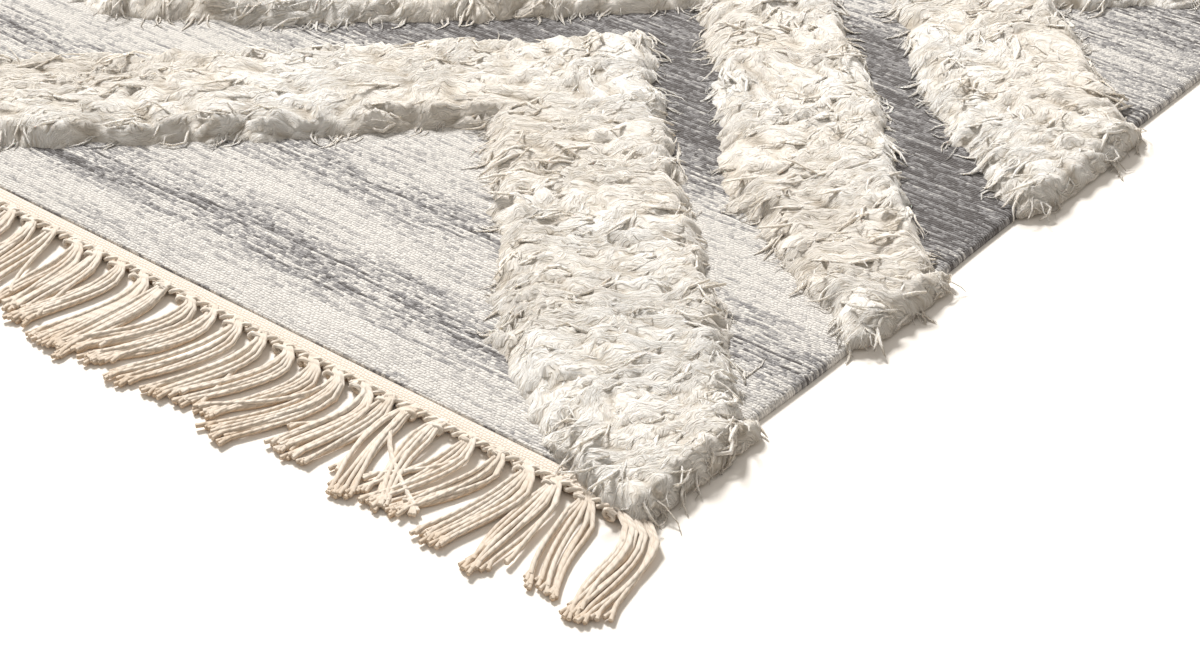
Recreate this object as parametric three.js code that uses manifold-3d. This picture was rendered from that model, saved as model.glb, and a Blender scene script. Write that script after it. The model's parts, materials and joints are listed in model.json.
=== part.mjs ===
// Wool rug, 1200 x 1800 mm, laid flat: a weft-faced wool ground with raised shag bands knotted into it in
// zigzags and diamonds, a cotton heading at each end, and a knotted cotton fringe that lies on the floor.
// Millimetres. X runs from selvage to selvage, Y along the warp, +Z up. The origin is the middle of the underside.

import * as THREE from "three";
import { mergeVertices } from "three/addons/utils/BufferGeometryUtils.js";
import Module from "manifold-3d";

const wasm = await Module();
wasm.setup();

// Driving dimensions of the cloth
const RUG_WIDTH = 1200;
const RUG_LENGTH = 1800; // between the outer edges of the two cotton headings
const GROUND_THICK = 5;
const HEADING_WIDTH = 12;
const HEADING_THICK = 4;
const PIECE_GAP = 0.3;
const SELVAGE_WAVER = 2.5;

// The zigzag repeat, the same across and along the rug
const REPEAT = 600;
const COLUMN_STEP = 25;

// Pile
const PILE_CREST = 23; // over the floor, in the middle of a band
const PILE_LUMP = 4;
const PILE_OVERHANG = 5; // how far a band reaches past the selvage
const PILE_FOOT = 2; // the buried underside of a band
const RAGGED_EDGE = 7;
const VALLEY_SPREAD = 34; // how far an edge may move where the zigzag turns down

// Rim locks: pile that falls over the edge of the cloth
const LOCK_PITCH = 15;
const LOCK_LENGTH = 20;
const LOCK_RADIUS = 4.2;

// Fringe
const TASSELS = 65;
const FRINGE_REACH = 76; // from the heading to the longest cut end
const TASSEL_WIDTH = 10.5;
const TASSEL_THICK = 5.5;
const TASSEL_SCATTER = 1.2;

// Pile bands, by their distance up a zigzag from its own baseline to their near and far edge.
// The spreads move an edge where the zigzag turns down, at the selvages and the middle of the rug.
const BANDS = [
  { name: "inner", near: 242, far: 400, nearSpread: 0.75, farSpread: 0 },
  { name: "middle", near: 448, far: 588, nearSpread: 1.2, farSpread: -0.5 },
  { name: "outer", near: 638, far: 787, nearSpread: 0.7, farSpread: 0 },
];

// Rows of one repeat each. A row that climbs has its zigzag points towards +Y, and the next one mirrors it.
const ROWS = [
  { start: 0, climbs: true },
  { start: REPEAT, climbs: false },
  { start: 2 * REPEAT, climbs: true },
];

// Section across a band: share of its width, share of the crest height, and how much of the lumps it takes
const SECTION = [
  { across: 0, rise: 0.16, lump: 0 },
  { across: 0.06, rise: 0.7, lump: 0.5 },
  { across: 0.33, rise: 0.98, lump: 1 },
  { across: 0.67, rise: 1, lump: 1 },
  { across: 0.94, rise: 0.68, lump: 0.5 },
  { across: 1, rise: 0.16, lump: 0 },
];

// Section along a tassel: share of its reach, and shares of its width and thickness
const TASSEL_SECTION = [
  { along: 0, wide: 0.58, thick: 0.8 },
  { along: 0.1, wide: 0.42, thick: 0.75 },
  { along: 0.4, wide: 0.8, thick: 0.85 },
  { along: 0.85, wide: 1, thick: 0.7 },
  { along: 1, wide: 0.8, thick: 0.45 },
];

// How far the fringe is drawn sideways at its cut ends, counting tassels from the corner that it fans out of
const DRIFTS = [
  { tassel: 0, drift: 20 },
  { tassel: 1, drift: 0 },
  { tassel: 9, drift: 1 },
  { tassel: 12, drift: -9 },
  { tassel: 16, drift: -10 },
  { tassel: 22, drift: 15 },
  { tassel: 26, drift: 17 },
  { tassel: 30, drift: 3 },
  { tassel: 35, drift: -13 },
  { tassel: 40, drift: -5 },
  { tassel: 45, drift: 12 },
  { tassel: 52, drift: 5 },
  { tassel: 57, drift: -11 },
  { tassel: 63, drift: -4 },
  { tassel: 64, drift: -14 },
];

const WOOL = { color: 0xe9e3d5, roughness: 0.95, metalness: 0 };
const COTTON = { color: 0xe6d9c2, roughness: 0.9, metalness: 0 };

// A number from -1 to 1 that depends on n alone.
function chance(n) {
  const s = Math.sin(n * 12.9898 + 4.1) * 43758.5453;
  return 2 * (s - Math.floor(s)) - 1;
}

// Slow unevenness from -1 to 1 over the rug.
function lumps(x, y) {
  const broad = Math.sin(x / 23 + 1.7 * Math.sin(y / 61)) * Math.sin(y / 19 + 1.3 * Math.sin(x / 47));
  const fine = Math.sin(x / 9.1 + y / 12.7) * Math.sin(y / 7.9 - x / 14.3);
  return 0.7 * broad + 0.3 * fine;
}

// Distance from x to the nearest point line of the zigzags, from 0 to half a repeat.
function offPoint(x) {
  const across = (((x + RUG_WIDTH / 2) % REPEAT) + REPEAT) % REPEAT;
  return Math.abs(across - REPEAT / 2);
}

// How far x is into a valley of the zigzags, from 0 to 1.
function inValley(x) {
  return THREE.MathUtils.smoothstep(offPoint(x), REPEAT / 4, REPEAT / 2);
}

// A closed shape as a solid, turned right side out where its shaping has mirrored it.
function solid(geometry) {
  geometry.deleteAttribute("normal");
  geometry.deleteAttribute("uv");
  const merged = mergeVertices(geometry, 1e-4);
  const vertProperties = merged.attributes.position.array;
  const triVerts = new Uint32Array(merged.index.array);
  const made = new wasm.Manifold(new wasm.Mesh({ numProp: 3, vertProperties, triVerts }));
  if (made.volume() > 0) return made;
  triVerts.reverse();
  return new wasm.Manifold(new wasm.Mesh({ numProp: 3, vertProperties, triVerts }));
}

// A solid as a named piece of the rug.
function meshOf(name, shape, finish) {
  const data = shape.getMesh();
  const geometry = new THREE.BufferGeometry();
  geometry.setAttribute("position", new THREE.BufferAttribute(data.vertProperties, 3));
  geometry.setIndex(new THREE.BufferAttribute(data.triVerts, 1));
  geometry.computeVertexNormals();
  const mesh = new THREE.Mesh(geometry, new THREE.MeshStandardMaterial(finish));
  mesh.name = name;
  return mesh;
}

// A box solid from its low and high corners.
function block(low, high) {
  const size = high.map((value, axis) => value - low[axis]);
  const geometry = new THREE.BoxGeometry(...size);
  geometry.translate(...high.map((value, axis) => (value + low[axis]) / 2));
  return solid(geometry);
}

// Moves every vertex of a geometry by a function of its position.
function reshape(geometry, place) {
  const points = geometry.attributes.position;
  const point = new THREE.Vector3();
  for (let i = 0; i < points.count; i += 1) {
    point.fromBufferAttribute(points, i);
    const moved = place(point);
    points.setXYZ(i, moved.x, moved.y, moved.z);
  }
  return geometry;
}

// The selvage's wandering line: how far it stands out of true at y, on the side +1 or -1.
function waver(y, side) {
  return SELVAGE_WAVER * Math.sin(y / 83 + side) * Math.sin(y / 197 + 2 * side);
}

// The woven ground: a flat slab whose selvages waver.
function groundCloth() {
  const end = RUG_LENGTH / 2 - HEADING_WIDTH - PIECE_GAP;
  const steps = 72;
  const outline = new THREE.Shape();
  for (let i = 0; i <= steps; i += 1) {
    const y = THREE.MathUtils.lerp(-end, end, i / steps);
    const x = RUG_WIDTH / 2 + waver(y, 1);
    if (i === 0) outline.moveTo(x, y);
    else outline.lineTo(x, y);
  }
  for (let i = steps; i >= 0; i -= 1) {
    const y = THREE.MathUtils.lerp(-end, end, i / steps);
    outline.lineTo(-RUG_WIDTH / 2 - waver(y, -1), y);
  }
  return solid(new THREE.ExtrudeGeometry(outline, { depth: GROUND_THICK, bevelEnabled: false }));
}

// Height of the pile's surface at a row of the section, lower where a band reaches a selvage.
// Each point is a clump of pile of its own, so it stands a little up or down from the slow lumps.
function pileHeight(x, y, row, clump) {
  const toEdge = RUG_WIDTH / 2 - Math.abs(x);
  const shoulder = THREE.MathUtils.lerp(0.62, 1, THREE.MathUtils.smoothstep(toEdge, -PILE_OVERHANG, 22));
  const uneven = 0.45 * lumps(x, y) + 0.55 * chance(clump);
  return PILE_CREST * row.rise * shoulder + PILE_LUMP * row.lump * uneven;
}

// One pile band of one row: a lumpy slab that follows the zigzag and stands in the ground cloth.
function pileBand(row, band, seed) {
  const reach = RUG_WIDTH / 2 + PILE_OVERHANG;
  const columns = Math.round(RUG_WIDTH / COLUMN_STEP);
  const geometry = new THREE.BoxGeometry(1, 1, 1, columns, SECTION.length - 1, 1);
  return solid(
    reshape(geometry, (point) => {
      const column = Math.round((point.x + 0.5) * columns);
      const x = THREE.MathUtils.clamp(-RUG_WIDTH / 2 + column * COLUMN_STEP, -reach, reach);
      const outer = column === 0 || column === columns ? Math.sign(x) * PILE_OVERHANG : 0;
      const index = Math.round((point.y + 0.5) * (SECTION.length - 1));
      const spread = VALLEY_SPREAD * inValley(x);
      const near = band.near + band.nearSpread * spread + RAGGED_EDGE * chance(column + seed);
      const far = band.far + band.farSpread * spread + RAGGED_EDGE * chance(column + seed + 500);
      // A row that falls is the mirror of one that climbs, so its section is read from the other side.
      const at = row.climbs ? index : SECTION.length - 1 - index;
      const climb = THREE.MathUtils.lerp(near, far, SECTION[at].across) - offPoint(x);
      const y = -RUG_LENGTH / 2 + row.start + (row.climbs ? climb : REPEAT - climb);
      const clump = 7.3 * column + 131 * at + seed;
      const z = point.z > 0 ? pileHeight(x + outer, y, SECTION[at], clump) : PILE_FOOT;
      return new THREE.Vector3(x + outer, y, z);
    }),
  );
}

// All the pile of one row, kept inside its own repeat.
function pileRow(row, rowIndex) {
  const cloth = RUG_LENGTH / 2 - HEADING_WIDTH - PIECE_GAP;
  const join = 0.5;
  const start = Math.max(-RUG_LENGTH / 2 + row.start - join, -cloth);
  const end = Math.min(-RUG_LENGTH / 2 + row.start + REPEAT + join, cloth);
  const bounds = block([-RUG_WIDTH, start, 0], [RUG_WIDTH, end, 3 * PILE_CREST]);
  const bands = BANDS.map((band, i) => pileBand(row, band, 60 * i + 200 * rowIndex));
  return wasm.Manifold.union(bands).intersect(bounds);
}

// A three-sided lock of pile from root to tip, thickest a third of the way out and ending in a point.
function lock(root, bend, tip, radius) {
  const path = new THREE.QuadraticBezierCurve3(root, bend, tip);
  const geometry = new THREE.CylinderGeometry(0, radius, 1, 3, 2);
  const side = new THREE.Vector3().subVectors(tip, root).cross(new THREE.Vector3(0, 0, 1)).normalize();
  const up = new THREE.Vector3(0, 0, 1);
  return solid(
    reshape(geometry, (point) => {
      const middle = path.getPoint(point.y + 0.5);
      return middle.addScaledVector(side, point.x).addScaledVector(up, 0.8 * point.z);
    }),
  );
}

// Whether there is pile at a point of the rug, measured on the bands' own edges.
function onPile(x, y, margin) {
  const up = y + RUG_LENGTH / 2;
  const row = ROWS[Math.min(ROWS.length - 1, Math.floor(up / REPEAT))];
  const within = up - row.start;
  const climb = (row.climbs ? within : REPEAT - within) + offPoint(x);
  const spread = VALLEY_SPREAD * inValley(x);
  return BANDS.some((band) => {
    const near = band.near + band.nearSpread * spread + margin;
    const far = band.far + band.farSpread * spread - margin;
    return climb > near && climb < far;
  });
}

// Locks that fall over the two selvages and the two ends wherever pile reaches them.
function rimLocks() {
  const made = [];
  const margin = 9;
  const inset = 11;
  const count = Math.floor((RUG_LENGTH - 2 * HEADING_WIDTH) / LOCK_PITCH);
  for (const side of [-1, 1]) {
    for (let i = 0; i < count; i += 1) {
      const y = -RUG_LENGTH / 2 + HEADING_WIDTH + (i + 0.5) * LOCK_PITCH + 3 * chance(i + 31 * side);
      if (!onPile(side * (RUG_WIDTH / 2), y, margin)) continue;
      const slant = 6 * chance(i + 77 * side);
      const reach = LOCK_LENGTH - inset + 2 * chance(i + 11 * side);
      const root = new THREE.Vector3(side * (RUG_WIDTH / 2 - inset), y, 12);
      const bend = new THREE.Vector3(side * (RUG_WIDTH / 2 + 3), y + slant / 2, 13.5);
      const tip = new THREE.Vector3(side * (RUG_WIDTH / 2 + reach), y + slant, 4 + 2 * chance(i));
      made.push(lock(root, bend, tip, LOCK_RADIUS));
    }
  }
  const clothEnd = RUG_LENGTH / 2 - HEADING_WIDTH;
  for (const end of [-1, 1]) {
    for (let i = 0; i < RUG_WIDTH / LOCK_PITCH; i += 1) {
      const x = -RUG_WIDTH / 2 + (i + 0.5) * LOCK_PITCH + 3 * chance(i + 53 * end);
      if (!onPile(x, end * (clothEnd - 4), margin)) continue;
      const slant = 5 * chance(i + 17 * end);
      const root = new THREE.Vector3(x, end * (clothEnd - inset), 15);
      const bend = new THREE.Vector3(x + slant / 2, end * (clothEnd + 3), 17);
      const tip = new THREE.Vector3(x + slant, end * (clothEnd + LOCK_LENGTH - inset), 9.5 + chance(i));
      made.push(lock(root, bend, tip, LOCK_RADIUS));
    }
  }
  return made;
}

// Where tassel i is drawn to along X at its cut end. The back fringe is the front one turned half round.
function tasselLean(i, end) {
  const number = end < 0 ? TASSELS - 1 - i : i;
  const next = Math.max(1, DRIFTS.findIndex((row) => row.tassel >= number));
  const low = DRIFTS[next - 1];
  const high = DRIFTS[next];
  const share = (number - low.tassel) / (high.tassel - low.tassel);
  return -end * THREE.MathUtils.lerp(low.drift, high.drift, share) + TASSEL_SCATTER * chance(number + 5 * end);
}

// One knotted bundle of the fringe: a four-sided lock that leaves the heading and lies on the floor.
function tassel(i, end, x) {
  const rootY = RUG_LENGTH / 2 - 4;
  const reach = (FRINGE_REACH + 4) * (i % 9 === 4 ? 1 : 0.9 + 0.08 * chance(3 * i + end));
  const lean = tasselLean(i, end);
  const rootZ = 0.5 * HEADING_THICK;
  const steps = TASSEL_SECTION.length - 1;
  const geometry = new THREE.CylinderGeometry(1, 1, 1, 4, steps);
  geometry.rotateY(Math.PI / 4);
  const corner = Math.SQRT1_2;
  return solid(
    reshape(geometry, (point) => {
      const part = TASSEL_SECTION[Math.round((point.y + 0.5) * steps)];
      const drift = lean * part.along * part.along;
      const wide = (point.x / corner) * 0.5 * TASSEL_WIDTH * part.wide;
      const half = 0.5 * TASSEL_THICK * part.thick;
      const settle = THREE.MathUtils.smoothstep(part.along, 0, 0.3);
      const z = THREE.MathUtils.lerp(rootZ, half, settle) - (point.z / corner) * half;
      return new THREE.Vector3(x + drift + wide, end * (rootY + reach * part.along), Math.max(0, z));
    }),
  );
}

// A heading of plain cotton weave with its tassels: one strip that the bundles are knotted into.
function fringe(end) {
  const outer = RUG_LENGTH / 2;
  const inner = outer - HEADING_WIDTH;
  const half = RUG_WIDTH / 2 - 1;
  const low = [-half, Math.min(end * inner, end * outer), 0];
  const high = [half, Math.max(end * inner, end * outer), HEADING_THICK];
  const pitch = (RUG_WIDTH - TASSEL_WIDTH) / (TASSELS - 1);
  const parts = [block(low, high)];
  for (let i = 0; i < TASSELS; i += 1) {
    const x = -RUG_WIDTH / 2 + TASSEL_WIDTH / 2 + i * pitch;
    parts.push(tassel(i, end, x));
  }
  return wasm.Manifold.union(parts);
}

const pile = ROWS.map((row, i) => pileRow(row, i));
const clothSolid = wasm.Manifold.union([groundCloth(), ...pile, ...rimLocks()]);

const rug = new THREE.Group();
rug.add(meshOf("wool_cloth", clothSolid, WOOL));
rug.add(meshOf("fringe_front", fringe(-1), COTTON));
rug.add(meshOf("fringe_back", fringe(1), COTTON));

export default rug;
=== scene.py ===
"""A hand-knotted wool rug, 1.2 x 1.8 m, laid flat on a pale floor.

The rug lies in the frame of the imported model: X runs from selvage to selvage, Y along the warp and +Z
up, with the origin in the middle of the underside. Sizes are in millimetres, and become metres where a
mesh is made.
"""

import json
import logging
import math
from dataclasses import dataclass
from enum import Enum

import bmesh
import bpy
import numpy as np
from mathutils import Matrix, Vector

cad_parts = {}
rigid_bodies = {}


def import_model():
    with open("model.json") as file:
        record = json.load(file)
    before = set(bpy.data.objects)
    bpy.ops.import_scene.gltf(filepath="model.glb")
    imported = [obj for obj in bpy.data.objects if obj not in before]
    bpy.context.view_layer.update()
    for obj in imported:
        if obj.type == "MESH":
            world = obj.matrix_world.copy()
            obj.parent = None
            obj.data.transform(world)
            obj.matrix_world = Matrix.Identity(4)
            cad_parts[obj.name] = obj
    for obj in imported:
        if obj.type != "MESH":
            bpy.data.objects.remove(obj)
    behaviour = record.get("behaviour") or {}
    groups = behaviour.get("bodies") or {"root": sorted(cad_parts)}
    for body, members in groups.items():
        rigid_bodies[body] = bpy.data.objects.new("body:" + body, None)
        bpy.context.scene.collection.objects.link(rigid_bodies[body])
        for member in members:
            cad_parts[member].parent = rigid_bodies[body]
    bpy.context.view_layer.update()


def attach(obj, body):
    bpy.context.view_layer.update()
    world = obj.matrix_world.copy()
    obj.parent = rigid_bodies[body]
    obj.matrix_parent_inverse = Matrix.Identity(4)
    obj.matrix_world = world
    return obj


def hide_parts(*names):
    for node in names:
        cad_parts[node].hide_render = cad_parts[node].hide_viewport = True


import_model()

MM = 0.001
log = logging.getLogger("rug")


class Piece(Enum):
    """The names of the rug's pieces in the scene."""

    GROUND = "ground_cloth"
    PILE_BED = "pile_bed"
    PILE = "pile_locks"
    RIM = "rim_locks"
    HEADING = "heading"
    FRINGE = "fringe_cords"


class End(Enum):
    """The rug's two woven ends."""

    FRONT = -1
    BACK = 1


class Slot(Enum):
    """The record's material slots."""

    PILE = "pile_wool"
    GROUND = "ground_wool"
    COTTON = "fringe_cotton"


# Noise and mesh helpers


def value_noise(x: np.ndarray, y: np.ndarray, scale: float, seed: float) -> np.ndarray:
    """Smooth noise over the rug that is the same in every run.

    Args:
        x: places across the rug, in millimetres.
        y: places along the rug, in millimetres.
        scale: size of one swell, in millimetres.
        seed: a number that picks the noise.

    Returns:
        A number from -1 to 1 for each place.
    """
    gx, gy = x / scale, y / scale
    ix, iy = np.floor(gx), np.floor(gy)
    fx, fy = gx - ix, gy - iy
    fx, fy = fx * fx * (3 - 2 * fx), fy * fy * (3 - 2 * fy)

    def corner(dx: int, dy: int) -> np.ndarray:
        """The hashed value of one lattice corner."""
        h = np.sin((ix + dx) * 127.1 + (iy + dy) * 311.7 + seed * 74.7) * 43758.5453
        return 2 * (h - np.floor(h)) - 1

    low = corner(0, 0) * (1 - fx) + corner(1, 0) * fx
    high = corner(0, 1) * (1 - fx) + corner(1, 1) * fx
    return low * (1 - fy) + high * fy


def smoothstep(value: np.ndarray, low: float, high: float) -> np.ndarray:
    """A smooth rise from 0 at low to 1 at high."""
    t = np.clip((value - low) / (high - low), 0, 1)
    return t * t * (3 - 2 * t)


@dataclass
class MeshParts:
    """Vertices in millimetres, faces as rows of vertex numbers, and UV pairs and named values by vertex.

    The faces in flat are left out when the surface is shaded smooth.
    """

    points: list | np.ndarray
    faces: list | np.ndarray
    uvs: list[tuple[float, float]]
    values: dict[str, list | np.ndarray]
    flat: list[int]

    @classmethod
    def empty(cls) -> "MeshParts":
        """Parts with nothing in them."""
        return cls([], [], [], {}, [])

    def tube(
        self,
        path: np.ndarray,
        radii: np.ndarray,
        sides: int,
        flat: float = 1.0,
        **values: float,
    ) -> None:
        """Adds a closed tube along a path, ending in a point.

        Args:
            path: the centreline's points, one row each.
            radii: a radius for each point but the last, which is the tip.
            sides: corners of the section.
            flat: height of the section over its width.
            **values: named numbers stored on every vertex of the tube.
        """
        base = len(self.points)
        rings = len(path) - 1
        steps = np.gradient(path, axis=0)
        steps /= np.linalg.norm(steps, axis=1, keepdims=True)
        across = np.cross(steps, (0.0, 0.0, 1.0))
        across[np.linalg.norm(across, axis=1) < 1e-6] = (1.0, 0.0, 0.0)
        across /= np.linalg.norm(across, axis=1, keepdims=True)
        over = np.cross(across, steps)
        turns = 2 * math.pi * (0.25 + (1 - np.arange(sides)) / sides)
        lengths = np.concatenate([[0], np.cumsum(np.linalg.norm(np.diff(path, axis=0), axis=1))])
        along = lengths / lengths[-1]
        for i in range(rings):
            ring = across[i] * np.cos(turns)[:, None] + flat * over[i] * np.sin(turns)[:, None]
            self.points.extend(path[i] + radii[i] * ring)
            self.uvs.extend((k / sides, along[i]) for k in range(sides))
        self.points.append(path[-1])
        self.uvs.append((0.5, 1.0))
        for i in range(rings - 1):
            for k in range(sides):
                a, b = base + i * sides + k, base + i * sides + (k + 1) % sides
                if k == sides - 1:
                    self.flat.append(len(self.faces))
                self.faces.append((a, b, b + sides, a + sides))
        tip = base + rings * sides
        last = tip - sides
        self.faces.extend((last + k, last + (k + 1) % sides, tip) for k in range(sides))
        self.faces.append(tuple(base + k for k in reversed(range(sides))))
        self.flat.append(len(self.faces) - 2)
        for name, value in values.items():
            self.values.setdefault(name, []).extend([value] * (rings * sides + 1))

    def mesh(self, name: str) -> bpy.types.Mesh:
        """A smooth-shaded mesh in metres with these parts.

        Args:
            name: the mesh's name.

        Returns:
            The mesh.
        """
        made = bpy.data.meshes.new(name)
        made.from_pydata((np.array(self.points) * MM).tolist(), [], self.faces)
        if len(self.uvs):
            layer = made.uv_layers.new(name="UVMap")
            index = np.zeros(len(made.loops), np.int32)
            made.loops.foreach_get("vertex_index", index)
            layer.uv.foreach_set("vector", np.array(self.uvs, np.float32)[index].ravel())
        for key, numbers in self.values.items():
            numbers = np.array(numbers, np.float32)
            kind, field = ("FLOAT", "value") if numbers.ndim == 1 else ("FLOAT_VECTOR", "vector")
            made.attributes.new(key, kind, "POINT").data.foreach_set(field, numbers.ravel())
        made.shade_smooth()
        for index in self.flat:
            made.polygons[index].use_smooth = False
        made.validate()
        return made


def new_object(name: str, mesh: bpy.types.ID | None) -> bpy.types.Object:
    """An object at the origin, linked to the scene."""
    made = bpy.data.objects.new(name, mesh)
    bpy.context.scene.collection.objects.link(made)
    return made


def drop(obj: bpy.types.Object) -> None:
    """Removes a helper object and its data.

    Args:
        obj: the helper.
    """
    data = obj.data
    bpy.data.objects.remove(obj)
    if data.users == 0:
        bpy.data.batch_remove([data])


def face_out(mesh: bpy.types.Mesh) -> None:
    """Turns a closed mesh's faces outwards.

    Args:
        mesh: the mesh.
    """
    work = bmesh.new()
    work.from_mesh(mesh)
    bmesh.ops.recalc_face_normals(work, faces=work.faces)
    work.to_mesh(mesh)
    work.free()


def close_below(mesh: bpy.types.Mesh, below: float) -> None:
    """Closes a shell that is open underneath with a flat face, split into triangles.

    Args:
        mesh: the mesh.
        below: a height, in millimetres, that the open rim stays under and all else stays over.
    """
    work = bmesh.new()
    work.from_mesh(mesh)
    rim = [e for e in work.edges if e.is_boundary and all(v.co.z < below * MM for v in e.verts)]
    bmesh.ops.triangle_fill(work, use_beauty=False, use_dissolve=False, edges=rim, normal=(0, 0, -1))
    work.to_mesh(mesh)
    work.free()


def lot(first: np.ndarray, second: np.ndarray, seed: float) -> np.ndarray:
    """A number from 0 to 1 for each pair of whole numbers, the same in every run."""
    h = np.sin(first * 91.7 + second * 173.3 + seed * 37.9) * 24634.6345
    return h - np.floor(h)


# The rug's pattern


@dataclass(frozen=True)
class Band:
    """One pile band, by its distance up a zigzag to its near and its far edge, in millimetres.

    The spreads move an edge where the zigzag turns down.
    """

    near: float
    far: float
    near_spread: float
    far_spread: float


@dataclass(frozen=True)
class Pattern:
    """Where the rug has pile: zigzag bands that mirror from one row of the pattern to the next."""

    width: float = 1200.0
    length: float = 1800.0
    repeat: float = 600.0
    valley_spread: float = 34.0
    ragged: float = 6.0
    ragged_scale: float = 26.0
    ragged_fine: float = 10.0
    waver_width: float = 2.5
    heading: float = 12.0
    bands: tuple[Band, ...] = (
        Band(near=242, far=400, near_spread=0.75, far_spread=0.0),
        Band(near=448, far=588, near_spread=1.2, far_spread=-0.5),
        Band(near=638, far=787, near_spread=0.7, far_spread=0.0),
    )

    def waver(self, y: np.ndarray, side: float) -> np.ndarray:
        """How far the selvage stands out of true at y, on the side +1 or -1."""
        return self.waver_width * np.sin(y / 83 + side) * np.sin(y / 197 + 2 * side)

    def rag(self, x: np.ndarray, y: np.ndarray, seed: int) -> np.ndarray:
        """How far a band's edge is ragged at each place."""
        fine = 0.6 * value_noise(x, y, self.ragged_fine, seed + 1)
        return self.ragged * (value_noise(x, y, self.ragged_scale, seed) + fine)

    def off_point(self, x: np.ndarray) -> np.ndarray:
        """Distance from x to the nearest point line of the zigzags."""
        return np.abs(np.mod(x + self.width / 2, self.repeat) - self.repeat / 2)

    def edges(self, x: np.ndarray, y: np.ndarray) -> tuple[np.ndarray, np.ndarray]:
        """Distance inside the pile, measured square to the two long edges of the nearest band.

        Args:
            x: places across the rug.
            y: places along the rug.

        Returns:
            The distance inside the edge that faces the front, and inside the one that faces the back.
            Both are positive on pile.
        """
        up = y + self.length / 2
        row = np.clip(np.floor(up / self.repeat), 0, 2)
        within = up - row * self.repeat
        falls = row == 1
        climb = np.where(falls, self.repeat - within, within) + self.off_point(x)
        half = self.repeat / 2
        valley = self.valley_spread * smoothstep(self.off_point(x), half / 2, half)
        rag_near, rag_far = self.rag(x, y, 3), self.rag(x, y, 8)
        best_front, best_back = np.full(x.shape, -1e3), np.full(x.shape, -1e3)
        for band in self.bands:
            low = (climb - band.near - band.near_spread * valley + rag_near) / math.sqrt(2)
            high = (band.far + band.far_spread * valley - climb + rag_far) / math.sqrt(2)
            front, back = np.where(falls, high, low), np.where(falls, low, high)
            better = np.minimum(front, back) > np.minimum(best_front, best_back)
            best_front = np.where(better, front, best_front)
            best_back = np.where(better, back, best_back)
        return best_front, best_back


# Shader groups and finishes


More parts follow.
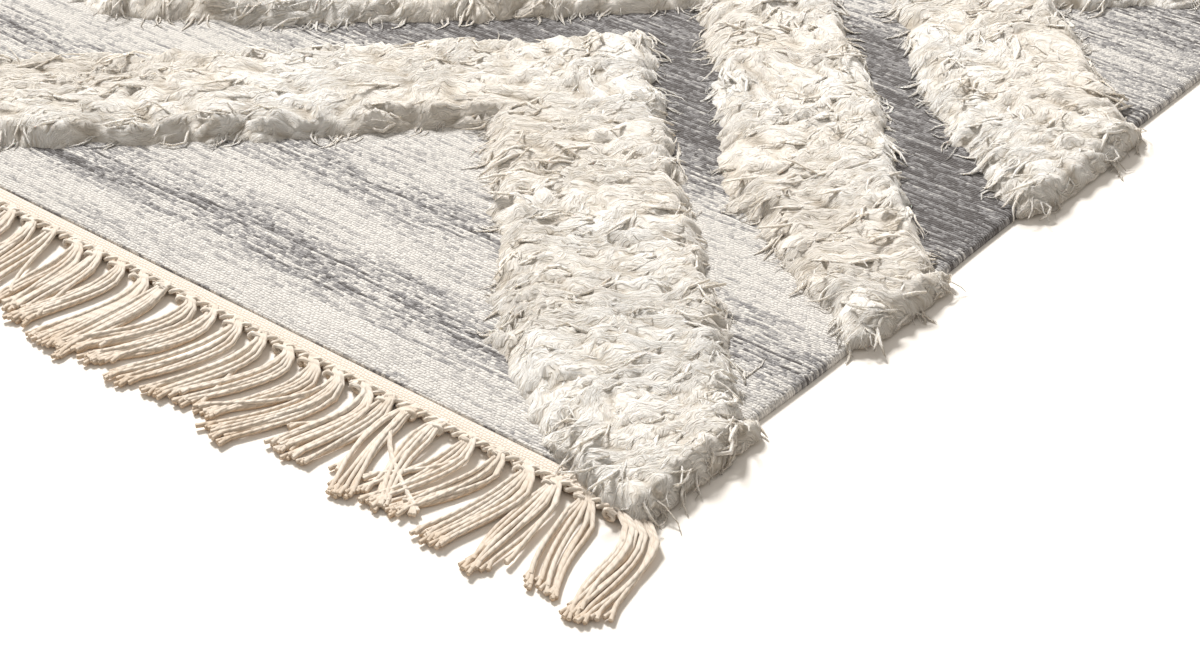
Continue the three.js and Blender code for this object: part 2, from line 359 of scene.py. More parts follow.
class Nodes:
    """Adds nodes to a shader or geometry tree and joins them."""

    def __init__(self, tree: bpy.types.NodeTree) -> None:
        """Works on the given tree."""
        self.tree = tree

    def add(self, kind: str, **settings: object) -> bpy.types.Node:
        """A new node of a kind, with settings.

        Args:
            kind: the node's type.
            **settings: its properties by name.

        Returns:
            The node.
        """
        node = self.tree.nodes.new(kind)
        for name, value in settings.items():
            setattr(node, name, value)
        return node

    def put(self, socket: bpy.types.NodeSocket, value: object) -> None:
        """Joins a socket to another, or sets its value.

        Args:
            socket: the input to fill.
            value: an output socket, or a plain value.
        """
        if isinstance(value, bpy.types.NodeSocket):
            self.tree.links.new(value, socket)
        else:
            socket.default_value = value

    def fill(self, node: bpy.types.Node, **values: object) -> bpy.types.Node:
        """Joins or sets a node's inputs by name, with underscores for spaces.

        Args:
            node: the node.
            **values: a socket or a plain value for each input.

        Returns:
            The same node.
        """
        for label, value in values.items():
            self.put(node.inputs[label.replace("_", " ")], value)
        return node

    def math(self, operation: str, *values: object, clamp: bool = False) -> bpy.types.NodeSocket:
        """The output of a Math node on sockets or numbers.

        Args:
            operation: what the node works out.
            *values: its inputs, in order.
            clamp: whether it stays from 0 to 1.

        Returns:
            The node's output.
        """
        node = self.add("ShaderNodeMath", operation=operation, use_clamp=clamp)
        for socket, value in zip(node.inputs, values):
            self.put(socket, value)
        return node.outputs[0]

    def swing(self, value: object, width: float) -> bpy.types.NodeSocket:
        """A number from 0 to 1 turned into one that swings about zero, over a width."""
        return self.math("MULTIPLY", self.math("SUBTRACT", value, 0.5), width)

    def split(self, vector: object) -> bpy.types.NodeOutputs:
        """The three numbers of a vector."""
        node = self.add("ShaderNodeSeparateXYZ")
        self.put(node.inputs[0], vector)
        return node.outputs

    def join(self, *numbers: object) -> bpy.types.NodeSocket:
        """A vector of up to three numbers.

        Args:
            *numbers: a socket or a number for X, Y and Z.

        Returns:
            The vector.
        """
        node = self.add("ShaderNodeCombineXYZ")
        for socket, number in zip(node.inputs, numbers):
            self.put(socket, number)
        return node.outputs[0]

    def mix(self, share: object, first: object, second: object) -> bpy.types.NodeSocket:
        """The output of a colour Mix node.

        Args:
            share: how much of the second colour there is.
            first: the colour at 0.
            second: the colour at 1.

        Returns:
            The mixed colour.
        """
        node = self.fill(self.add("ShaderNodeMix", data_type="RGBA"), Factor=share)
        self.put(node.inputs[6], first)
        self.put(node.inputs[7], second)
        return node.outputs[2]

    def noise(
        self,
        place: object,
        scale: float,
        detail: float = 2.0,
        rough: float = 0.5,
    ) -> bpy.types.NodeSocket:
        """The Fac output of a Noise Texture.

        Args:
            place: the coordinates.
            scale: swells to a unit of them.
            detail: octaves.
            rough: how strong the fine octaves are.

        Returns:
            The noise, from 0 to 1.
        """
        node = self.add("ShaderNodeTexNoise")
        return self.fill(node, Vector=place, Scale=scale, Detail=detail, Roughness=rough).outputs[0]

    def spread(
        self,
        value: object,
        low: float,
        high: float,
        to_low: float = 0.0,
        to_high: float = 1.0,
    ) -> bpy.types.NodeSocket:
        """A Map Range node's output, clamped.

        Args:
            value: the socket to map.
            low: the value that becomes to_low.
            high: the value that becomes to_high.
            to_low: the first end of the result.
            to_high: its other end.

        Returns:
            The mapped number.
        """
        node = self.add("ShaderNodeMapRange")
        for socket, number in zip(node.inputs, (value, low, high, to_low, to_high)):
            self.put(socket, number)
        return node.outputs[0]

    def place(self) -> bpy.types.NodeSocket:
        """A material's Object coordinates."""
        return self.add("ShaderNodeTexCoord").outputs["Object"]

    def attribute(self, name: str, output: str = "Fac") -> bpy.types.NodeSocket:
        """A value stored on the mesh, as a material reads it."""
        return self.add("ShaderNodeAttribute", attribute_name=name).outputs[output]

    def stored(self, name: object, kind: str = "FLOAT") -> bpy.types.NodeSocket:
        """A value stored on the mesh, as a geometry tree reads it."""
        node = self.add("GeometryNodeInputNamedAttribute", data_type=kind)
        return self.fill(node, Name=name).outputs["Attribute"]

    def store(
        self,
        geometry: bpy.types.NodeSocket,
        name: str,
        value: object,
        kind: str = "FLOAT",
        domain: str = "POINT",
    ) -> bpy.types.NodeSocket:
        """A geometry with a value stored on it.

        Args:
            geometry: the geometry.
            name: the value's name.
            value: the value.
            kind: its data type.
            domain: what each value belongs to.

        Returns:
            The geometry with the value.
        """
        node = self.add("GeometryNodeStoreNamedAttribute", data_type=kind, domain=domain)
        return self.fill(node, Geometry=geometry, Name=name, Value=value).outputs[0]


def colour(red: float, green: float, blue: float) -> tuple[float, float, float, float]:
    """A screen colour from 0 to 255 as linear red, green, blue and alpha.

    Args:
        red: the red channel.
        green: the green channel.
        blue: the blue channel.

    Returns:
        The linear colour.
    """

    def linear(value: float) -> float:
        """One channel, from screen to linear."""
        share = value / 255
        return share / 12.92 if share <= 0.04045 else ((share + 0.055) / 1.055) ** 2.4

    return linear(red), linear(green), linear(blue), 1.0


FLOAT, VECTOR, SHAPE = "NodeSocketFloat", "NodeSocketVector", "NodeSocketGeometry"


def node_group(
    kind: str,
    name: str,
    inputs: dict[str, tuple],
    outputs: dict[str, str],
) -> tuple[Nodes, bpy.types.Node, bpy.types.Node]:
    """An empty node group with named sockets.

    Args:
        kind: the tree's type.
        name: the group's name.
        inputs: each input's name, with its socket kind and default value.
        outputs: each output's name, with its socket kind.

    Returns:
        The node helper, the group's input node and its output node.
    """
    tree = bpy.data.node_groups.new(name, kind)
    for label, (socket_kind, default) in inputs.items():
        socket = tree.interface.new_socket(label, in_out="INPUT", socket_type=socket_kind)
        if default is not None:
            socket.default_value = default
    for label, socket_kind in outputs.items():
        tree.interface.new_socket(label, in_out="OUTPUT", socket_type=socket_kind)
    nodes = Nodes(tree)
    return nodes, nodes.add("NodeGroupInput"), nodes.add("NodeGroupOutput")


def weft_weave_group() -> bpy.types.NodeTree:
    """Weft-faced plain weave: long floats in brick order, as a height and two random tones.

    Returns:
        The group.
    """
    nodes, source, out = node_group(
        "ShaderNodeTree",
        "weft_weave",
        {"Place": (VECTOR, None), "Float": (FLOAT, 3.1), "Pick": (FLOAT, 1.9), "Waver": (FLOAT, 0.9)},
        {"Height": FLOAT, "Float Tone": FLOAT, "Pick Tone": FLOAT},
    )
    scale = nodes.add("ShaderNodeVectorMath", operation="SCALE")
    nodes.put(scale.inputs[0], source.outputs["Place"])
    nodes.put(scale.inputs["Scale"], 1 / MM)
    place = scale.outputs[0]
    across, along, _ = nodes.split(place)
    drift = nodes.swing(nodes.noise(place, 0.045, detail=3), 5.0)
    drift = nodes.math("MULTIPLY", drift, source.outputs["Waver"])
    rows = nodes.math("DIVIDE", nodes.math("ADD", along, drift), source.outputs["Pick"])
    pick = nodes.math("FLOOR", rows)
    loose = nodes.fill(nodes.add("ShaderNodeTexWhiteNoise", noise_dimensions="1D"), W=pick)
    brick = nodes.math("MULTIPLY", nodes.math("MODULO", nodes.math("ADD", pick, 4000.0), 2.0), 0.5)
    shift = nodes.math("MULTIPLY_ADD", loose.outputs["Value"], 0.3, brick)
    uneven = nodes.swing(nodes.noise(place, 0.21, detail=1), 2.4)
    shift = nodes.math("MULTIPLY_ADD", uneven, source.outputs["Waver"], shift)
    columns = nodes.math("ADD", nodes.math("DIVIDE", across, source.outputs["Float"]), shift)
    column = nodes.math("FLOOR", columns)
    over = nodes.math("SINE", nodes.math("MULTIPLY", nodes.math("FRACT", rows), math.pi))
    float_arch = nodes.math("SINE", nodes.math("MULTIPLY", nodes.math("FRACT", columns), math.pi))
    height = nodes.math("MULTIPLY", nodes.math("POWER", over, 0.6), nodes.math("POWER", float_arch, 0.45))
    tone = nodes.add("ShaderNodeTexWhiteNoise", noise_dimensions="2D")
    nodes.fill(tone, Vector=nodes.join(column, pick))
    streak = nodes.join(nodes.math("MULTIPLY", across, 0.012), nodes.math("MULTIPLY", pick, 7.31))
    nodes.put(out.inputs["Height"], height)
    nodes.put(out.inputs["Float Tone"], tone.outputs["Value"])
    nodes.put(out.inputs["Pick Tone"], nodes.noise(streak, 1.0, detail=2))
    return nodes.tree


def fleece_group() -> bpy.types.NodeTree:
    """Loosely spun wool combed one way: a height, masks of painted shade in grooves and thin lines, and
    pale patches.

    Returns:
        The group.
    """
    nodes, source, out = node_group(
        "ShaderNodeTree",
        "combed_fleece",
        {"Across": (FLOAT, 0.0), "Along": (FLOAT, 0.0), "Place": (VECTOR, None), "Clumps": (FLOAT, 1.6)},
        {"Height": FLOAT, "Groove": FLOAT, "Line": FLOAT, "Patch": FLOAT},
    )
    place = source.outputs["Place"]
    wave = nodes.swing(nodes.noise(place, 75.0, detail=2), 14.0)
    across = nodes.math("ADD", source.outputs["Across"], wave)

    def combed(fine: float, long: float, layer: float) -> bpy.types.NodeSocket:
        """Noise drawn out along the lay, with so many swells to a millimetre across it and along it."""
        swells = nodes.math("MULTIPLY", across, fine)
        stretched = nodes.math("MULTIPLY", source.outputs["Along"], long)
        return nodes.noise(nodes.join(swells, stretched, layer), 1.0, detail=2, rough=0.55)

    def crease(noise: bpy.types.NodeSocket) -> bpy.types.NodeSocket:
        """A narrow ridge wherever a noise crosses its middle, from -1 to 1."""
        folded = nodes.math("ABSOLUTE", nodes.math("MULTIPLY_ADD", noise, 4.0, -2.0))
        return nodes.math("SUBTRACT", 1.0, folded)

    strands = crease(combed(0.42, 0.08, 3.1))
    fibres = crease(combed(0.9, 0.13, 17.7))
    clumps = combed(0.085, 0.04, 41.3)
    height = nodes.math("MULTIPLY_ADD", strands, 0.55, nodes.math("MULTIPLY", fibres, 0.4))
    grown = nodes.math("MULTIPLY", clumps, source.outputs["Clumps"])
    # Masks of painted shade: in the grooves between clumps, and in thin lines between strands.
    groove = nodes.math("MULTIPLY_ADD", clumps, 1.6, height)
    line = nodes.math("MULTIPLY_ADD", strands, 0.5, nodes.math("MULTIPLY", fibres, 0.5))
    nodes.put(out.inputs["Height"], nodes.math("ADD", grown, height))
    nodes.put(out.inputs["Groove"], nodes.spread(groove, 0.5, 1.5, 1.0, 0.0))
    nodes.put(out.inputs["Line"], nodes.spread(line, 0.4, 0.75, 1.0, 0.0))
    nodes.put(out.inputs["Patch"], nodes.spread(nodes.noise(place, 7.0, detail=2), 0.4, 0.6))
    return nodes.tree


@dataclass(frozen=True)
class Finish:
    """What all the rug's fibres share: a matt Principled surface with a little sheen."""

    name: str
    roughness: float = 0.92
    specular: float = 0.2
    sheen: float = 0.25
    sheen_roughness: float = 0.6
    soft: float = 0.0
    soft_depth: float = 4.0
    soft_radius: tuple[float, float, float] = (1.0, 0.92, 0.8)

    def start(self) -> tuple[bpy.types.Material, Nodes, bpy.types.Node]:
        """A new material with its shader, ready for colour and normal.

        Returns:
            The material, its node helper and its Principled BSDF.
        """
        material = bpy.data.materials.new(self.name)
        material.use_nodes = True
        shader = material.node_tree.nodes["Principled BSDF"]
        shader.inputs["Roughness"].default_value = self.roughness
        shader.inputs["Specular IOR Level"].default_value = self.specular
        shader.inputs["Sheen Weight"].default_value = self.sheen
        shader.inputs["Sheen Roughness"].default_value = self.sheen_roughness
        if self.soft:
            shader.subsurface_method = "BURLEY"
            shader.inputs["Subsurface Weight"].default_value = self.soft
            shader.inputs["Subsurface Scale"].default_value = self.soft_depth * MM
            shader.inputs["Subsurface Radius"].default_value = self.soft_radius
        return material, Nodes(material.node_tree), shader

    def bump(
        self,
        nodes: Nodes,
        shader: bpy.types.Node,
        height: object,
        strength: float,
        depth: float,
        upward: float = 0.0,
    ) -> None:
        """Feeds a height to the shader's normal.

        Args:
            nodes: the material's node helper.
            shader: its Principled BSDF.
            height: the socket with the height.
            strength: the Bump node's strength.
            depth: the Bump node's distance, in millimetres.
            upward: how far the normal is drawn up, as loose fibres scatter light between strands.
        """
        node = nodes.add("ShaderNodeBump")
        nodes.fill(node, Strength=strength, Distance=depth * MM, Height=height)
        if upward:
            lift = nodes.add("ShaderNodeVectorMath", operation="ADD")
            nodes.put(lift.inputs[0], nodes.add("ShaderNodeNewGeometry").outputs["Normal"])
            nodes.put(lift.inputs[1], (0.0, 0.0, upward))
            unit = nodes.add("ShaderNodeVectorMath", operation="NORMALIZE")
            nodes.put(unit.inputs[0], lift.outputs[0])
            nodes.put(node.inputs["Normal"], unit.outputs[0])
        nodes.put(shader.inputs["Normal"], node.outputs[0])


@dataclass(frozen=True)
class PileFinish(Finish):
    """Ivory wool yarn of the knotted pile."""

    soft: float = 0.55
    soft_depth: float = 1.8
    ivory: tuple = colour(243, 235, 224)
    white: tuple = colour(246, 244, 240)
    # Painted shade in grooves, on thin lines between strands and at the locks' roots.
    shade: tuple = colour(202, 190, 172)
    # Painted shade low down and in the lowest places between tufts.
    gap: tuple = colour(160, 145, 125)
    lock_clumps: float = 0.5

    def build(self, fleece: bpy.types.NodeTree, around: float, length: float) -> bpy.types.Material:
        """The material of the pile's locks, which have a UV map, a tone each plant and a tone each strand.

        Args:
            fleece: the shared group of combed wool.
            around: how many millimetres of wool go once round a lock.
            length: a lock's length, in millimetres.

        Returns:
            The material.
        """
        material, nodes, shader = self.start()
        turn, along, _ = nodes.split(nodes.add("ShaderNodeUVMap", uv_map="UVMap").outputs[0])
        chance = nodes.math("ADD", nodes.attribute("tone"), nodes.attribute("strand"))
        wool = nodes.fill(
            nodes.add("ShaderNodeGroup", node_tree=fleece),
            Across=nodes.math("MULTIPLY_ADD", chance, 700.0, nodes.math("MULTIPLY", turn, around)),
            Along=nodes.math("MULTIPLY_ADD", chance, 900.0, nodes.math("MULTIPLY", along, length)),
            Place=nodes.place(),
            Clumps=self.lock_clumps,
        )
        # Painted shade: each lock is painted darker towards its root, where it sinks into the bed.
        painted_shade_share = nodes.spread(along, 0.0, 0.3, 0.6, 0.0)
        self.dress(nodes, shader, wool, nodes.math("MULTIPLY", chance, 0.5), painted_shade_share)
        self.bump(nodes, shader, wool.outputs["Height"], 0.9, 1.0, upward=0.9)
        return material

    def build_bed(self, fleece: bpy.types.NodeTree) -> bpy.types.Material:
        """The material of the pile's bed: combed wool that follows the lay, seen between the locks.

        Args:
            fleece: the shared group of combed wool.

        Returns:
            The material.
        """
        material, nodes, shader = self.start()
        across, along, _ = nodes.split(nodes.attribute("comb", "Vector"))
        wool = nodes.add("ShaderNodeGroup", node_tree=fleece)
        nodes.fill(wool, Across=across, Along=along, Place=nodes.place())
        # Painted shade in the hollows between the bed's tufts.
        self.dress(nodes, shader, wool, 0.4, nodes.attribute("hollow"))
        self.bump(nodes, shader, wool.outputs["Height"], 0.85, 2.0, upward=1.0)
        return material

    def dress(
        self,
        nodes: Nodes,
        shader: bpy.types.Node,
        wool: bpy.types.Node,
        pale: object,
        painted_shade_share: object,
    ) -> None:
        """Colours the wool by patches from ivory to white, and paints shade in grooves, low down and
        between tufts.

        Args:
            nodes: the material's node helper.
            shader: its Principled BSDF.
            wool: the combed wool's group node.
            pale: how far a lock is from the rug's mean whiteness.
            painted_shade_share: how much painted shade a place gets, by a lock's root or between tufts,
                from 0 to 1.
        """
        whiter = nodes.math("MULTIPLY_ADD", wool.outputs["Patch"], 0.6, nodes.math("MULTIPLY", pale, 0.4))
        base = nodes.mix(whiter, self.ivory, self.white)
        # Painted shade at the locks' roots and between tufts, in the grooves between clumps and on thin
        # lines between strands.
        for mask, most in ((painted_shade_share, 0.6), (wool.outputs["Groove"], 0.8), (wool.outputs["Line"], 0.45)):
            base = nodes.mix(nodes.math("MULTIPLY", mask, most), base, self.shade)
        # Painted shade low down, within 8 mm of the floor, and darker still in the lowest places between
        # tufts.
        low = nodes.spread(nodes.split(nodes.place())[2], 2.5 * MM, 8.0 * MM, 0.4, 0.0)
        painted_gap_shade = nodes.math("MAXIMUM", low, nodes.spread(painted_shade_share, 0.6, 1.0, 0.0, 0.55))
        nodes.put(shader.inputs["Base Color"], nodes.mix(painted_gap_shade, base, self.gap))


@dataclass(frozen=True)
class WeaveZone:
    """Where the weft's wool changes: a place up from the cloth's front end and how dark it is there."""

    up: float
    dark: float


@dataclass(frozen=True)
class GroundFinish(Finish):
    """Wool weft of the flat ground, cream flecked with grey, in zones from cream to charcoal."""

    cream: tuple = colour(231, 226, 219)
    grey: tuple = colour(150, 147, 147)
    charcoal: tuple = colour(78, 72, 70)
    length: float = 1776.0
    zones: tuple[WeaveZone, ...] = (
        WeaveZone(0, 0.2),
        WeaveZone(10, 0.17),
        WeaveZone(32, 0.18),
        WeaveZone(47, 0.60),
        WeaveZone(70, 0.40),
        WeaveZone(90, 0.18),
        WeaveZone(112, 0.20),
        WeaveZone(140, 0.58),
        WeaveZone(156, 0.32),
        WeaveZone(185, 0.14),
        WeaveZone(235, 0.25),
        WeaveZone(270, 0.60),
        WeaveZone(300, 0.86),
        WeaveZone(480, 0.84),
        WeaveZone(515, 0.34),
        WeaveZone(560, 0.38),
        WeaveZone(640, 0.58),
        WeaveZone(720, 0.40),
        WeaveZone(800, 0.72),
        WeaveZone(900, 0.85),
        WeaveZone(960, 0.25),
        WeaveZone(1080, 0.12),
        WeaveZone(1170, 0.40),
        WeaveZone(1260, 0.16),
        WeaveZone(1360, 0.80),
        WeaveZone(1480, 0.86),
        WeaveZone(1560, 0.22),
        WeaveZone(1660, 0.40),
        WeaveZone(1776, 0.12),
    )

    def darkness(self, nodes: Nodes, place: object, cloth: bpy.types.Node, flecks: object) -> object:
        """How dark the weft is at each place: by its zone, pick by pick and fleck by fleck.

        Args:
            nodes: the material's node helper.
            place: the Object coordinates.
            cloth: the weave's group node.
            flecks: the socket with the yarn's flecks.

        Returns:
            A socket from 0, cream, to 1, charcoal.
        """
        up = nodes.math("ADD", nodes.math("DIVIDE", nodes.split(place)[1], self.length * MM), 0.5)
        wander = nodes.swing(nodes.noise(place, 9.0, detail=2), 0.009)
        ramp = nodes.add("ShaderNodeValToRGB")
        stops = ramp.color_ramp.elements
        for zone in self.zones[2:]:
            stops.new(min(1.0, zone.up / self.length))
        for stop, zone in zip(stops, self.zones):
            stop.position = zone.up / self.length
            stop.color = (zone.dark, zone.dark, zone.dark, 1.0)
        nodes.put(ramp.inputs[0], nodes.math("ADD", up, wander))
        dark = ramp.outputs[0]
        by_pick = nodes.swing(cloth.outputs["Pick Tone"], 1.9)
        by_float = nodes.swing(cloth.outputs["Float Tone"], 0.5)
        strength = nodes.math("MULTIPLY_ADD", dark, 1.3, 0.55)
        strength = nodes.math("MINIMUM", strength, nodes.math("MULTIPLY_ADD", dark, -1.2, 1.9))
        mottle = nodes.math("ADD", nodes.math("ADD", by_pick, by_float), flecks)
        return nodes.math("ADD", dark, nodes.math("MULTIPLY", mottle, strength), clamp=True)

    def build(self, weave: bpy.types.NodeTree) -> bpy.types.Material:
        """The material of the woven ground.

        Args:
            weave: the shared group of weft-faced weave.

        Returns:
            The material.
        """
        material, nodes, shader = self.start()
        place = nodes.place()
        cloth = nodes.fill(nodes.add("ShaderNodeGroup", node_tree=weave), Place=place)
        stretch = nodes.add("ShaderNodeVectorMath", operation="MULTIPLY")
        nodes.put(stretch.inputs[0], place)
        nodes.put(stretch.inputs[1], (0.30 / MM, 0.85 / MM, 0.0))
        flecks = nodes.swing(nodes.noise(stretch.outputs[0], 1.0, detail=3, rough=0.7), 1.25)
        dark = self.darkness(nodes, place, cloth, flecks)
        off_middle = nodes.math("ABSOLUTE", nodes.split(place)[1])
        off_end = nodes.math("SUBTRACT", self.length * MM / 2, off_middle)
        seam = nodes.spread(off_end, 0.4 * MM, 1.4 * MM, 0.35, 0.0)
        broken = nodes.spread(nodes.noise(stretch.outputs[0], 0.5), 0.45, 0.6)
        dark = nodes.math("MULTIPLY_ADD", seam, broken, dark, clamp=True)
        base = nodes.mix(nodes.spread(dark, 0.15, 0.62), self.cream, self.grey)
        base = nodes.mix(nodes.spread(dark, 0.62, 1.0), base, self.charcoal)
        # Painted shade: the low places between the weft's floats and picks are painted towards charcoal,
        # more in some patches than in others.
        uneven = nodes.spread(nodes.noise(place, 260.0, detail=1), 0.35, 0.7, 0.15, 0.8)
        gap = nodes.math("MULTIPLY", nodes.spread(cloth.outputs["Height"], 0.1, 0.6, 0.36, 0.0), uneven)
        nodes.put(shader.inputs["Base Color"], nodes.mix(gap, base, self.charcoal))
        self.bump(nodes, shader, nodes.math("ADD", cloth.outputs["Height"], flecks), 0.8, 0.8)
        return material


@dataclass(frozen=True)
class CottonFinish(Finish):
    """Unbleached cotton of the heading and the fringe."""

    cream: tuple = colour(241, 231, 218)
    web_cream: tuple = colour(236, 226, 214)
    # Beige is the cords' darker tone, and the colour of painted shade in plies, low down, at the cut ends
    # and in the web's weave.
    beige: tuple = colour(198, 170, 138)
    # Painted shade along the web's outer edge, where the twined cords and tassels leave it.
    gap: tuple = colour(150, 122, 98)
    web_end: float = 900.0
    web_pitch: tuple[float, float] = (2.2, 1.9)
    web_waver: float = 0.8
    plies: float = 14.0

    def build_cord(self) -> bpy.types.Material:
        """The material of the plied cords, whose UV map runs round and along each cord.

        Returns:
            The material.
        """
        material, nodes, shader = self.start()
        around, along, _ = nodes.split(nodes.add("ShaderNodeUVMap", uv_map="UVMap").outputs[0])
        lay = nodes.math("MULTIPLY_ADD", along, self.plies, nodes.math("MULTIPLY", around, 2.0))
        ply = nodes.math("ABSOLUTE", nodes.math("SINE", nodes.math("MULTIPLY", lay, math.pi)))
        # Painted shade in the grooves between the plies.
        groove = nodes.spread(ply, 0.0, 0.4, 0.45, 0.0)
        # Painted shade: the cords are painted beige low down, within 3.4 mm of the floor.
        low = nodes.spread(nodes.split(nodes.place())[2], 0.6 * MM, 3.4 * MM, 0.9, 0.0)
        # The stored tone is random beige, with painted shade towards the cut ends.
        base = nodes.mix(nodes.math("MULTIPLY", nodes.attribute("tone"), 0.35), self.cream, self.beige)
        base = nodes.mix(nodes.math("MULTIPLY", groove, 0.6), base, self.beige)
        nodes.put(shader.inputs["Base Color"], nodes.mix(low, base, self.beige))
        height = nodes.math("MULTIPLY_ADD", self.fibres(nodes, around, along), 0.4, ply)
        self.bump(nodes, shader, height, 0.6, 0.6, upward=0.4)
        return material

    def fibres(self, nodes: Nodes, around: object, along: object) -> bpy.types.NodeSocket:
        """Loose fibres that run lengthways on a cord.

        Args:
            nodes: the material's node helper.
            around: the share of the way round the cord.
            along: the share of the way along it.

        Returns:
            The fibres' height.
        """
        angle = nodes.math("MULTIPLY", around, 2 * math.pi)
        ring = 8.0 / (2 * math.pi)
        x = nodes.math("MULTIPLY", nodes.math("COSINE", angle), ring)
        y = nodes.math("MULTIPLY", nodes.math("SINE", angle), ring)
        return nodes.noise(nodes.join(x, y, nodes.math("MULTIPLY", along, 6.0)), 1.3, detail=3, rough=0.6)

    def build_web(self, weave: bpy.types.NodeTree) -> bpy.types.Material:
        """The material of the heading, a fine cotton weave, with painted shade in its weave and along the
        edge that the tassels leave.

        Args:
            weave: the shared group of weft-faced weave.

        Returns:
            The material.
        """
        material, nodes, shader = self.start()
        place = nodes.place()
        cloth = nodes.add("ShaderNodeGroup", node_tree=weave)
        width, height = self.web_pitch
        nodes.fill(cloth, Place=place, Float=width, Pick=height, Waver=self.web_waver)
        # Painted shade in the low places of the weave.
        gap = nodes.spread(cloth.outputs["Height"], 0.1, 0.6, 0.7, 0.0)
        base = nodes.mix(gap, self.web_cream, self.beige)
        # Painted shade along the outer edge, where the twined cords and the tassels leave the web.
        off_middle = nodes.math("ABSOLUTE", nodes.split(place)[1])
        edge = nodes.spread(off_middle, (self.web_end - 2.5) * MM, (self.web_end - 1) * MM, 0.0, 0.9)
        nodes.put(shader.inputs["Base Color"], nodes.mix(edge, base, self.gap))
        self.bump(nodes, shader, cloth.outputs["Height"], 0.6, 0.6)
        return material


# Geometry trees


def grow(
    source: bpy.types.Object,
    tree: bpy.types.NodeTree,
    name: str,
    **inputs: object,
) -> bpy.types.Object:
    """Runs a geometry tree on an object and keeps the result as a plain mesh.

    Args:
        source: the helper object that the tree starts from, which is removed.
        tree: the geometry node tree.
        name: the finished piece's name.
        **inputs: the tree's inputs by name, with underscores for spaces.

    Returns:
        The finished piece, at the origin.
    """
    modifier = source.modifiers.new("grow", "NODES")
    modifier.node_group = tree
    sockets = {item.name: item.identifier for item in tree.interface.items_tree if item.in_out == "INPUT"}
    for label, value in inputs.items():
        modifier[sockets[label.replace("_", " ")]] = value
    depsgraph = bpy.context.evaluated_depsgraph_get()
    mesh = bpy.data.meshes.new_from_object(source.evaluated_get(depsgraph), depsgraph=depsgraph)
    mesh.name = name
    source.modifiers.remove(modifier)
    made = new_object(name, mesh)
    drop(source)
    return made


def close_tree(nodes: Nodes, geometry: object, source: bpy.types.Node, out: bpy.types.Node) -> None:
    """Ends a geometry tree with the finish that its input node names.

    Args:
        nodes: the tree's helper.
        geometry: the finished geometry.
        source: the tree's input node.
        out: its output node.
    """
    dress = nodes.add("GeometryNodeSetMaterial")
    nodes.fill(dress, Geometry=geometry, Material=source.outputs["Finish"])
    nodes.put(out.inputs[0], dress.outputs[0])


def rest_on_cloth(
    nodes: Nodes,
    geometry: bpy.types.NodeSocket,
    source: bpy.types.Node,
) -> bpy.types.NodeSocket:
    """Lifts what hangs lower than the cloth, or than the floor beside it.

    Args:
        nodes: the tree's helper.
        geometry: the geometry to lift.
        source: the tree's input node, with "Half Width", "Cloth Top", "Floor Top" and "Soft", which
            is the height over which the lift sets in.

    Returns:
        The lifted geometry.
    """
    across, along, up = nodes.split(nodes.add("GeometryNodeInputPosition").outputs[0])
    cloth, soft = source.outputs["Cloth Top"], source.outputs["Soft"]
    out = nodes.math("GREATER_THAN", nodes.math("ABSOLUTE", across), source.outputs["Half Width"])
    step_down = nodes.math("SUBTRACT", cloth, source.outputs["Floor Top"])
    lowest = nodes.math("SUBTRACT", cloth, nodes.math("MULTIPLY", out, step_down))
    above = nodes.math("SUBTRACT", up, nodes.math("ADD", lowest, soft))
    below = nodes.math("MINIMUM", nodes.math("DIVIDE", above, soft), 0.0)
    eased = nodes.math("MULTIPLY", soft, nodes.math("EXPONENT", below))
    lifted = nodes.math("ADD", nodes.math("ADD", lowest, eased), nodes.math("MAXIMUM", above, 0.0))
    move = nodes.add("GeometryNodeSetPosition")
    return nodes.fill(move, Geometry=geometry, Position=nodes.join(across, along, lifted)).outputs[0]


